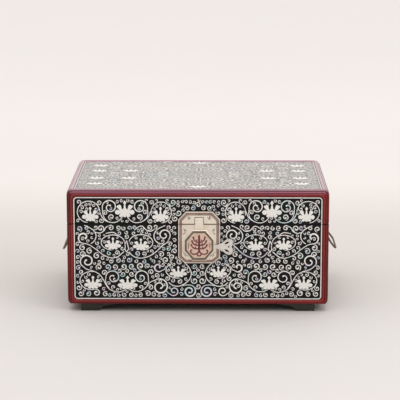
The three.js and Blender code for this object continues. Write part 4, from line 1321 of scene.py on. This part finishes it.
# The top: flowers where the photograph shows them, round a middle field of large scrolls.
TOP_MIDDLE = 4.0  # how far back the pattern's middle lies
TOP_FLOWERS = [  # across, back from the pattern's middle, width, height: one quarter, in millimetres
    (-116.5, 57.0, 19.5, 14.0), (-116.5, 23.0, 19.5, 14.0), (-79.5, 23.0, 20.5, 14.0)]
TOP_SCROLLS = [  # middle, radius, start in degrees, turns, then the stem
    (-98.0, 67.0, 8.4, 200, -1.4, [(-128.0, 38.0), (-112.0, 42.0), (-103.0, 54.0)]),
    (-98.0, 40.0, 7.6, -20, -1.5, [(-128.0, 36.0), (-110.0, 38.0), (-96.0, 30.0)]),
    (-62.0, 63.0, 9.4, 0, 1.5, [(-92.0, 76.0), (-72.0, 48.0), (-56.0, 52.0)]),
    (-80.0, 50.0, 6.6, 170, -1.4, [(-98.0, 52.0), (-88.0, 42.0)]),
    (-46.0, 36.0, 10.4, 190, -1.5, [(-64.0, 4.0), (-64.0, 20.0)]),
    (-24.0, 60.0, 9.6, 160, -1.5, [(-44.0, 50.0), (-38.0, 58.0)]),
    (-20.0, 32.0, 9.4, -30, 1.5, [(-38.0, 14.0), (-20.0, 16.0)]),
    (-38.0, 78.0, 5.6, 0, 1.4, [(-56.0, 78.0), (-44.0, 72.0)]),
    (-42.0, 10.0, 7.6, 200, 1.4, [(-62.0, 2.0), (-54.0, 4.0)]),
    (-97.0, 8.0, 6.0, 90, 1.4, [(-128.0, 3.0), (-108.0, 3.0)])]
TOP_STEMS = [
    [(-60.0, 1.6), (-46.0, -2.0), (-32.0, 3.0), (-20.0, 9.0), (-8.0, 4.0)],
    [(-14.0, 84.0), (-10.0, 66.0), (-11.0, 50.0), (-4.0, 42.0), (-2.0, 30.0), (-4.0, 18.0)]]
TOP_LOZENGE = [(-14.0, 0.0), (-5.0, 6.0), (0.0, 15.0)]
TOP_CENTRE_FLOWER = (0.0, 75.0, 21.0, 13.0)
TOP_RING = (12.5, 11.0)
TOP_LINE = 1.5
TOP_CURLS = (5.2, 1.9)  # largest and smallest
FLOWER_MIDDLE = 0.42  # a flower's middle lies so far up its height


def build_top():
    layout = panel_layout("lid", "top")
    for u, v, _, _ in TOP_FLOWERS:
        layout.line(ellipse_arc(u, v, *TOP_RING, 268, -300), TOP_LINE * 0.7)
    for u, v, radius, start, turns, stem in TOP_SCROLLS:
        layout.scroll(stem, spiral(u, v, radius, start, turns), TOP_LINE, 2.0)
    for stem in (*TOP_STEMS, TOP_LOZENGE):
        layout.line(smooth_path(stem), TOP_LINE)
    layout.mirror(0.0)
    for points, *stroke in list(layout.lines):
        layout.lines.append((points * np.array([1, -1]), *stroke))
    layout.flowers = [(sign_u * u, sign_v * v - FLOWER_MIDDLE * tall, across, tall)
                      for u, v, across, tall in TOP_FLOWERS for sign_u in (-1, 1) for sign_v in (-1, 1)]
    u, v, across, tall = TOP_CENTRE_FLOWER
    layout.flowers += [(u, sign * v - FLOWER_MIDDLE * tall, across, tall) for sign in (-1, 1)]
    layout.shift_back(TOP_MIDDLE)
    layout.fill(*TOP_CURLS, seed=5)
    build_inlay("lid_top", "lid", FACES["top"], layout, 55, PEARL_TOP)


# Finished copies of CAD pieces: merged, their flats made whole, edges softened.
MERGE_DISTANCE = 2e-6  # metres
FLAT_ANGLE = math.radians(0.5)
SHARP_ANGLE = math.radians(25)
BEVEL_PROFILE = 0.6
FRONT_DEPTH = 2e-5  # metres behind a piece's front that still belong to it
RIMMED_AREA = 4e-6  # square metres: smaller flats get no rim


def sink_inside(work, sunk):
    """Moves the front's points that lie inside each outline back by its depth, in millimetres."""
    front = min(v.co.y for v in work.verts)
    flat = [v for v in work.verts if v.co.y < front + FRONT_DEPTH]
    for outline, depth in sunk:
        edges = list(zip(outline, outline[1:] + outline[:1]))
        inside = [v for v in flat if all(cross(a, b, (v.co.x / MM, v.co.z / MM)) > 0 for a, b in edges)]
        bmesh.ops.translate(work, verts=inside, vec=(0, depth * MM, 0))


def sink_in_rim(work, width, depth):
    """Moves the broad flats that face the front back inside a rim."""
    facing = [f for f in work.faces if f.normal.y < -0.99 and f.calc_area() > RIMMED_AREA]
    bmesh.ops.inset_region(work, faces=facing, thickness=width * MM, depth=0.0, use_even_offset=True)
    bmesh.ops.translate(work, verts=list({v for f in facing for v in f.verts}), vec=(0, depth * MM, 0))


def finished_copy(name, source, body, slot, material, bevel=0.0, smooth=40, divide=0, rim=None, sunk=None):
    """Replaces a CAD node by a merged copy: edges bevelled, its front sunk in parts, or the whole rounded."""
    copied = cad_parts[source].data.copy()
    work = bmesh.new()
    work.from_mesh(copied)
    bmesh.ops.remove_doubles(work, verts=work.verts, dist=MERGE_DISTANCE)
    bmesh.ops.dissolve_limit(work, angle_limit=FLAT_ANGLE, verts=work.verts, edges=work.edges)
    bmesh.ops.recalc_face_normals(work, faces=work.faces)
    if sunk:
        sink_inside(work, sunk)
    if bevel:
        sharp = [e for e in work.edges if len(e.link_faces) == 2 and e.calc_face_angle(0) > SHARP_ANGLE]
        bmesh.ops.bevel(work, geom=sharp, offset=bevel * MM, segments=2, affect="EDGES",
                        clamp_overlap=True, profile=BEVEL_PROFILE)
    if rim:
        sink_in_rim(work, *rim)
    work.to_mesh(copied)
    work.free()
    copied.materials.clear()
    copied.materials.append(material)
    copied.polygons.foreach_set("material_index", [0] * len(copied.polygons))
    copied.name = name
    made = put_in_scene(name, copied)
    if divide:
        rounded = made.modifiers.new("rounded", "SUBSURF")
        rounded.levels = rounded.render_levels = divide
    smooth_by_angle(copied, smooth)
    return finish_piece(made, body, slot, source)


# The lock: ribbed bands, engraved sprays and a sprig in red enamel.
PLATE_CUT = 8.0
PLATE_BAND = (2.35, 2.8, 0.03, 0.13)  # its middle from the flat's edge, width, heights of its floor and ribs
OCTAGON_BAND = (1.25, 2.0, -0.07, -0.005)
OCTAGON_GROOVE = 1.85  # from the flat's edge to the middle of the groove round the medallion
OCTAGON_LOWERED = 0.1
MEDALLION_GAP = 0.35
RIB_PITCH = 1.15
RIB_SHARE = 0.5
ENAMEL_SINK = 0.12
SEAM_SHADE_LINE = 0.34  # a dark strip along the plate's seam: painted shade in the gap
SEAM_SHADE_INSET = 0.3
# width of the dark line round the tongue: painted shade
TONGUE_SHADE_LINE = 0.8
ENGRAVED_LINE = 0.55


def inset_outline(outline, inset):
    """A convex outline moved inwards; its points run counter-clockwise."""
    moved = []
    count = len(outline)
    for i in range(count):
        before, here, after = (np.array(outline[(i + k) % count], float) for k in (-1, 0, 1))
        first, second = here - before, after - here
        first, second = first / np.linalg.norm(first), second / np.linalg.norm(second)
        inner_a = np.array([-first[1], first[0]])
        inner_b = np.array([-second[1], second[0]])
        moved.append(tuple(here + inset * (inner_a + inner_b) / (1 + inner_a.dot(inner_b))))
    return moved


def corners_of(source, height):
    """The outer corners of a flat CAD piece's front, counter-clockwise, in millimetres across and up."""
    points = {(round(v.co.x / MM, 2), round(v.co.z / MM, 2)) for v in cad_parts[source].data.vertices
              if abs(v.co.y / MM - height) < 0.02}
    hull = []
    ordered = sorted(points)
    for run in (ordered, ordered[::-1]):
        half = []
        for p in run:
            while len(half) > 1 and cross(half[-2], half[-1], p) <= 1e-6:
                half.pop()
            half.append(p)
        hull += half[:-1]
    return hull


def cross(a, b, c):
    return (b[0] - a[0]) * (c[1] - a[1]) - (b[1] - a[1]) * (c[0] - a[0])


def make_rib_tree():
    """Sets small bars across a path at an even pitch."""
    tree, given, result = group_tree(
        "band_ribs", "GeometryNodeTree",
        [("Geometry", "NodeSocketGeometry", None), ("Pitch", "NodeSocketFloat", RIB_PITCH * MM),
         ("Size", "NodeSocketVector", (0.0005, 0.002, 0.0003)), ("Material", "NodeSocketMaterial", None)],
        [("Geometry", "NodeSocketGeometry")])
    path = node(tree, "GeometryNodeMeshToCurve", {"Mesh": given.outputs["Geometry"]})
    places = node(tree, "GeometryNodeCurveToPoints", {
        "Curve": path.outputs["Curve"], "Length": given.outputs["Pitch"]}, mode="LENGTH")
    bar = node(tree, "GeometryNodeMeshCube", {"Size": given.outputs["Size"]})
    turned = node(tree, "FunctionNodeAlignRotationToVector", {"Vector": places.outputs["Tangent"]}, axis="X")
    set_out = node(tree, "GeometryNodeInstanceOnPoints", {
        "Points": places.outputs["Points"], "Instance": bar.outputs["Mesh"],
        "Rotation": turned.outputs["Rotation"]})
    real = node(tree, "GeometryNodeRealizeInstances", {"Geometry": set_out.outputs["Instances"]})
    dressed = node(tree, "GeometryNodeSetMaterial", {
        "Geometry": real.outputs["Geometry"], "Material": given.outputs["Material"]})
    tree.links.new(dressed.outputs["Geometry"], result.inputs["Geometry"])
    return tree


RIB_TREE = make_rib_tree()


def flat_line(skin, points, width, bottom, top):
    """A strip of even width, mitred at its corners, between two heights."""
    line = np.array(points, float)
    ahead = np.diff(line, axis=0)
    ahead /= np.linalg.norm(ahead, axis=1, keepdims=True)
    before, after = np.vstack([ahead[:1], ahead]), np.vstack([ahead, ahead[-1:]])
    closed = np.allclose(line[0], line[-1])
    if closed:
        before[0], after[-1] = ahead[-1], ahead[0]
    normals = np.stack([-(before + after)[:, 1], (before + after)[:, 0]], 1)
    normals /= np.linalg.norm(normals, axis=1, keepdims=True)
    reach = width / 2 / np.maximum(np.sum(normals * np.stack([-after[:, 1], after[:, 0]], 1), 1), 0.5)
    left, right = line + normals * reach[:, None], line - normals * reach[:, None]
    shell, faces = [], []
    for l, r in zip(left, right):
        shell += [(*r, top), (*l, top), (*l, bottom), (*r, bottom)]
    for i in range(len(line) - 1):
        a, b = 4 * i, 4 * ((i + 1) % (len(line) - 1 if closed else len(line)))
        for k in range(4):
            faces.append((a + k, b + k, b + (k + 1) % 4, a + (k + 1) % 4))
    if not closed:
        end = 4 * (len(line) - 1)
        faces += [(0, 1, 2, 3), (end + 3, end + 2, end + 1, end)]
    skin.add(shell[:4 * (len(line) - 1)] if closed else shell, faces)


def on_front(surface):
    """Places a mesh on a front surface that lies so far from the box's middle, in millimetres."""
    return FACES["front"].place(surface - CORE_Y)


def build_band(name, body, path, surface, band, materials):
    """A band's dark floor and its ribs; the path runs along the band's middle."""
    _, width, bottom, top = band
    place = on_front(surface)
    skin = Skin()
    flat_line(skin, path, width, bottom - 0.25, bottom)
    floor = skin.build(f"{name}_floor", [materials[0]], place=place)
    finish_piece(floor, body, "lock_metal")
    mesh = bpy.data.meshes.new(f"{name}_path")
    count = len(path) - 1 if path[0] == path[-1] else len(path)
    edges = [(i, (i + 1) % count) for i in range(len(path) - 1)]
    mesh.from_pydata([(u * MM, v * MM, (bottom + top) / 2 * MM) for u, v in path[:count]], edges, [])
    source = put_in_scene(f"{name}_path", mesh)
    ribs = grown_mesh(source, RIB_TREE, {
        "Size": (RIB_PITCH * RIB_SHARE * MM, (width - 0.5) * MM, (top - bottom) * MM),
        "Material": materials[1]})
    ribs.transform(place)
    finish_piece(put_in_scene(f"{name}_ribs", ribs), body, "lock_metal")


ENGRAVED_SPRAYS = [  # left side, across and up from the medallion's middle, in millimetres
    [(-11.5, 27.6), (-11.0, 30.0), (-11.6, 32.4)], [(-14.2, 30.8), (-12.4, 30.0), (-11.2, 28.8)],
    [(-8.6, 31.4), (-10.0, 30.2), (-11.0, 28.8)], [(-13.6, 33.0), (-12.4, 32.0), (-11.4, 30.4)],
    [(-17.4, 18.2), (-15.6, 14.6), (-17.4, 11.2)], [(-17.4, 18.2), (-14.2, 15.4)],
    [(-18.2, 12.2), (-15.8, 12.4)],
    [(-17.8, -8.4), (-15.0, -11.2), (-11.8, -13.2)], [(-17.0, -11.4), (-14.4, -13.4)],
    [(-11.7, 3.6), (-11.7, -0.4), (-11.7, -4.0)], [(-12.9, 1.8), (-11.7, 0.4), (-10.5, 1.8)],
    [(-12.8, -1.8), (-11.7, -0.8), (-10.6, -1.8)]]
FACE_SPRAYS = (13, 4)  # the sprays on the octagon reach this far across, and start this far up or down
SPRIG_STEMS = [  # the enamel sprig, left side, from the medallion's middle
    [(0.0, -6.4), (0.0, -2.0), (0.0, 3.0), (0.0, 8.6)],
    [(0.0, 3.2), (-2.6, 3.8), (-4.8, 5.4), (-5.6, 7.6)],
    [(0.0, 0.2), (-3.0, 0.4), (-5.6, 1.8), (-6.8, 3.8)],
    [(0.0, -3.2), (-3.4, -3.2), (-6.0, -2.0), (-7.4, -0.2)],
    [(0.0, -6.2), (-2.4, -8.2), (-5.6, -8.8), (-8.0, -7.2), (-8.2, -5.0), (-6.8, -4.4)],
    [(0.0, -5.8), (-1.8, -7.8), (-1.6, -9.8), (0.0, -10.6)]]
SPRIG_SCALE = 1.12
SPRIG_BUDS = [(0.0, 9.4, 1.15), (-5.7, 8.1, 0.95), (-7.0, 4.4, 0.95), (-7.7, 0.4, 0.9), (-2.3, 5.4, 0.7),
              (-3.0, 1.9, 0.7), (-3.6, -1.7, 0.7)]
SPRIG_STALK = 2.4
SPRIG_BRANCH = 1.5


def mirrored(lines):
    return lines + [[(-u, v) for u, v in line] for line in lines if any(abs(u) > 1e-6 for u, _ in line)]


def add_plate(skin, outline, bottom, top):
    points, faces = loft([[(*p, bottom) for p in outline], [(*p, top) for p in outline]])
    skin.add(points, faces)


def build_plate_half(part, edge, plate_face):
    """One half of the lock plate: its ribbed band as far as the seam, a dark strip of painted shade along the
    seam, and the metal.
    """
    outline = inset_outline(corners_of(f"{part}_lock_plate", -plate_face), PLATE_BAND[0])
    at_seam = sorted(outline, key=lambda p: abs(p[1] - SEAM_HEIGHT))[:2]
    count = len(outline)
    start = next(i for i in range(count) if outline[i - 1] in at_seam and outline[i] not in at_seam)
    path = [outline[(start + k) % count] for k in range(count - 2)]
    path = [(path[0][0], edge), *path, (path[-1][0], edge)]
    build_band(f"lock_band_{part}", part, path, plate_face, PLATE_BAND, (LOCK_BAND, LOCK_RIB))
    # Painted shade: a dark strip along the gap between the plate's halves.
    dark = Skin()
    inward = -1 if part == "case" else 1
    us = [u for u, _ in outline]
    ends = (min(us) - PLATE_BAND[0] + SEAM_SHADE_INSET, max(us) + PLATE_BAND[0] - SEAM_SHADE_INSET)
    flat_line(dark, [(u, edge + inward * SEAM_SHADE_LINE / 2) for u in ends], SEAM_SHADE_LINE, -0.2, 0.15)
    made = dark.build(f"lock_seam_painted_shade_{part}", [ENGRAVING_AND_SHADE], place=on_front(plate_face))
    finish_piece(made, part, "lock_metal")
    finished_copy(f"{part}_plate_finished", f"{part}_lock_plate", part, "lock_metal", LOCK_BRASS, 0.22)


def build_octagon(octagon, octagon_face):
    """The raised octagon: its ribbed band, the metal, and the sunk medallion under the enamel."""
    ring = inset_outline(octagon, OCTAGON_BAND[0])
    build_band("lock_band_octagon", "case", [*ring, ring[0]], octagon_face, OCTAGON_BAND,
               (LOCK_OCTAGON_BAND, LOCK_OCTAGON_RIB))
    finished_copy("lock_case_finished", "lock_case", "case", "lock_metal", LOCK_BRASS, 0.2,
                  sunk=[(inset_outline(octagon, -1.0), OCTAGON_LOWERED),
                        (inset_outline(octagon, OCTAGON_GROOVE), ENAMEL_SINK)])
    medal = Skin()
    inset = OCTAGON_BAND[0] + OCTAGON_BAND[1] / 2 + MEDALLION_GAP
    add_plate(medal, inset_outline(octagon, inset), -0.3, -ENAMEL_SINK)
    made = medal.build("lock_medallion", [LOCK_FACE], place=on_front(octagon_face))
    finish_piece(made, "case", "lock_metal")


def build_engraving(u_mid, v_mid, plate_face, octagon_face):
    """Short strokes on both halves of the plate and on the octagon, and a dark line of painted shade round
    the tongue.
    """
    for part, body in (("lid", "lid"), ("plate", "case"), ("face", "case")):
        cuts = Skin()
        for line in mirrored(ENGRAVED_SPRAYS):
            on_face = max(abs(u) for u, _ in line) < FACE_SPRAYS[0] and abs(line[0][1]) < FACE_SPRAYS[1]
            on_lid = min(v for _, v in line) > SEAM_HEIGHT - v_mid
            if (part == "lid") == on_lid and (part == "face") == on_face:
                points = smooth_path([(u_mid + u, v_mid + v) for u, v in line], 0.5)
                add_ribbon(cuts, points, stroke_widths(points, ENGRAVED_LINE, 1.0, 0.3), 0.0, 0.04)
        # Painted shade: a dark line round the raised tongue.
        if part == "lid":
            low, high = low_high("lock_tongue")
            left, right, top = low.x - 0.3, high.x + 0.3, high.z + 0.4
            edge = [(left, LID_BOTTOM), (left, top), (right, top), (right, LID_BOTTOM)]
            flat_line(cuts, edge, TONGUE_SHADE_LINE, -0.1, 0.05)
        surface = octagon_face - ENAMEL_SINK if part == "face" else plate_face
        made = cuts.build(f"lock_engraving_{part}", [ENGRAVING_AND_SHADE], place=on_front(surface))
        finish_piece(made, body, "lock_metal")


def build_sprig(u_mid, v_mid, octagon_face):
    """A sprig with buds in red enamel on the medallion."""
    def laid(u, v):
        return u_mid + SPRIG_SCALE * u, v_mid + SPRIG_SCALE * v

    sprig = Skin()
    for i, line in enumerate(mirrored(SPRIG_STEMS)):
        points = smooth_path([laid(u, v) for u, v in line], 0.5)
        width = SPRIG_STALK if i == 0 else SPRIG_BRANCH
        add_ribbon(sprig, points, np.full(len(points), width), 0.0, 0.05 + 0.003 * i)
    for u, v, radius in SPRIG_BUDS:
        for sign in (1, -1) if u else (1,):
            drop = [laid(sign * (u + radius * math.cos(a)), v + radius * 1.2 * math.sin(a))
                    for a in np.linspace(0, 2 * math.pi, 17)[:-1]]
            add_plate(sprig, drop if sign > 0 else drop[::-1], -0.05, 0.08)
    made = sprig.build("lock_enamel_sprig", [ENAMEL], place=on_front(octagon_face - ENAMEL_SINK))
    finish_piece(made, "case", "enamel")


def build_lock():
    plate_face = -low_high("case_lock_plate")[0].y
    lock_low, lock_high = low_high("lock_case")
    octagon_face = -lock_low.y
    octagon = corners_of("lock_case", -octagon_face)
    build_plate_half("case", CASE_TOP, plate_face)
    build_plate_half("lid", LID_BOTTOM, plate_face)
    build_octagon(octagon, octagon_face)
    u_mid = (octagon[0][0] + max(octagon)[0]) / 2
    v_mid = (lock_low.z + lock_high.z) / 2
    build_engraving(u_mid, v_mid, plate_face, octagon_face)
    build_sprig(u_mid, v_mid, octagon_face)


def build_fittings():
    """Feet, handles, hinges, key and tongue: the CAD's own shapes with softened edges."""
    for end in ("front", "back"):
        for side in ("left", "right"):
            finished_copy(f"bracket_foot_{end}_{side}", f"foot_{end}_{side}", "case", "foot_lacquer",
                          FOOT, 0.5)
            finished_copy(f"bail_post_{side}_{end}", f"handle_post_{side}_{end}", "case", "handle_metal",
                          HANDLE_METAL, 0.12, smooth=50)
    for side in ("left", "right"):
        finished_copy(f"bail_{side}", f"handle_bail_{side}", f"handle_{side}", "handle_metal", HANDLE_METAL,
                      smooth=80, divide=2)
        for leaf, body in (("case_leaf", "case"), ("pin", "case"), ("lid_leaf", "lid")):
            finished_copy(f"hinge_{leaf}_{side}", f"hinge_{side}_{leaf}", body, "hinge_metal",
                          HINGE_METAL, 0.15)
    finished_copy("key_finished", "key", "case", "key_metal", KEY_METAL, 0.3, rim=(0.95, 0.3))
    finished_copy("tongue_finished", "lock_tongue", "lid", "lock_metal", LOCK_BRASS, 0.2)


def dress_kept_nodes():
    """Flat CAD pieces whose shape is right keep their mesh and take their finish."""
    for name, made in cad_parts.items():
        if name == "lid_top_panel":
            finish = BLACK_TOP
        elif name.endswith("_panel"):
            finish = BLACK
        elif name == "case_bottom_board":
            finish = BOTTOM
        else:
            continue
        made.data.materials.clear()
        made.data.materials.append(finish)


# Camera, light and floor.
SKY_LOW = 0.44
SKY_BEHIND = 0.38
SKY_ABOVE = 0.80
SKY_LOW_COLOUR = (0.95, 0.92, 0.885)
SKY_HIGH_COLOUR = (0.93, 0.90, 0.90)
FLOOR_REACH = 6.0  # metres
LIGHTS = (  # name, place and width in metres, watts
    ("overhead", (0.1, -0.3, 1.9), 1.6, 6.0), ("window", (1.7, -1.4, 1.4), 1.2, 9.0))
LIGHT_COLOUR = (1.0, 0.98, 0.95)
LIGHT_AIM = Vector((0, 0, 0.05))


def make_camera():
    """The camera at the photograph's viewing angle."""
    back = Vector((math.sin(YAW) * math.cos(PITCH), -math.cos(YAW) * math.cos(PITCH), math.sin(PITCH)))
    lens = bpy.data.cameras.new("camera")
    lens.sensor_width = SENSOR
    lens.lens = FOCAL_PIXELS / FRAME_PIXELS * SENSOR
    lens.clip_start = 0.05
    lens.clip_end = 50
    camera = put_in_scene("camera", lens)
    camera.location = (CAMERA_TARGET + back * CAMERA_DISTANCE) * MM
    camera.rotation_mode = "QUATERNION"
    camera.rotation_quaternion = (-back).to_track_quat("-Z", "Y")
    bpy.context.scene.camera = camera


def make_sky():
    """Soft light from all round, stronger from above and from behind the box."""
    world = bpy.data.worlds.new("studio")
    world.use_nodes = True
    tree = world.node_tree
    way = node(tree, "ShaderNodeSeparateXYZ", {
        "Vector": tree.nodes.new("ShaderNodeTexCoord").outputs["Generated"]})
    behind = map_range(tree, way.outputs["Y"], smooth=True, From_Min=-0.5, From_Max=0.7, To_Max=SKY_BEHIND)
    above = map_range(tree, way.outputs["Z"], smooth=True, From_Min=0.25, From_Max=0.95, To_Max=SKY_ABOVE)
    background = tree.nodes["Background"]
    low = math_node(tree, "ADD", behind, SKY_LOW)
    tree.links.new(math_node(tree, "ADD", low, above), background.inputs["Strength"])
    share = math_node(tree, "DIVIDE", above, SKY_ABOVE)
    tree.links.new(mix_colour(tree, share, SKY_LOW_COLOUR, SKY_HIGH_COLOUR), background.inputs["Color"])
    bpy.context.scene.world = world


def make_stage():
    """The sky, the floor and two soft lamps."""
    bpy.context.scene.view_settings.view_transform = "Standard"
    make_sky()
    ground = bpy.data.meshes.new("studio_floor")
    corners = [(x * FLOOR_REACH, y * FLOOR_REACH, 0) for x, y in ((-1, -1), (1, -1), (1, 1), (-1, 1))]
    ground.from_pydata(corners, [], [(0, 1, 2, 3)])
    ground.materials.append(FLOOR)
    floor = put_in_scene("studio_floor", ground)
    for name, place, size, power in LIGHTS:
        light = bpy.data.lights.new(name, "AREA")
        light.shape = "DISK"
        light.size = size
        light.energy = power
        light.color = LIGHT_COLOUR
        lamp = put_in_scene(name, light)
        lamp.location = place
        lamp.rotation_mode = "QUATERNION"
        lamp.rotation_quaternion = (LIGHT_AIM - Vector(place)).to_track_quat("-Z", "Y")


make_camera()
make_stage()
build_case_frame()
build_lid_frame()
dress_kept_nodes()
front_and_back()
left_and_right()
build_top()
build_lock()
build_fittings()
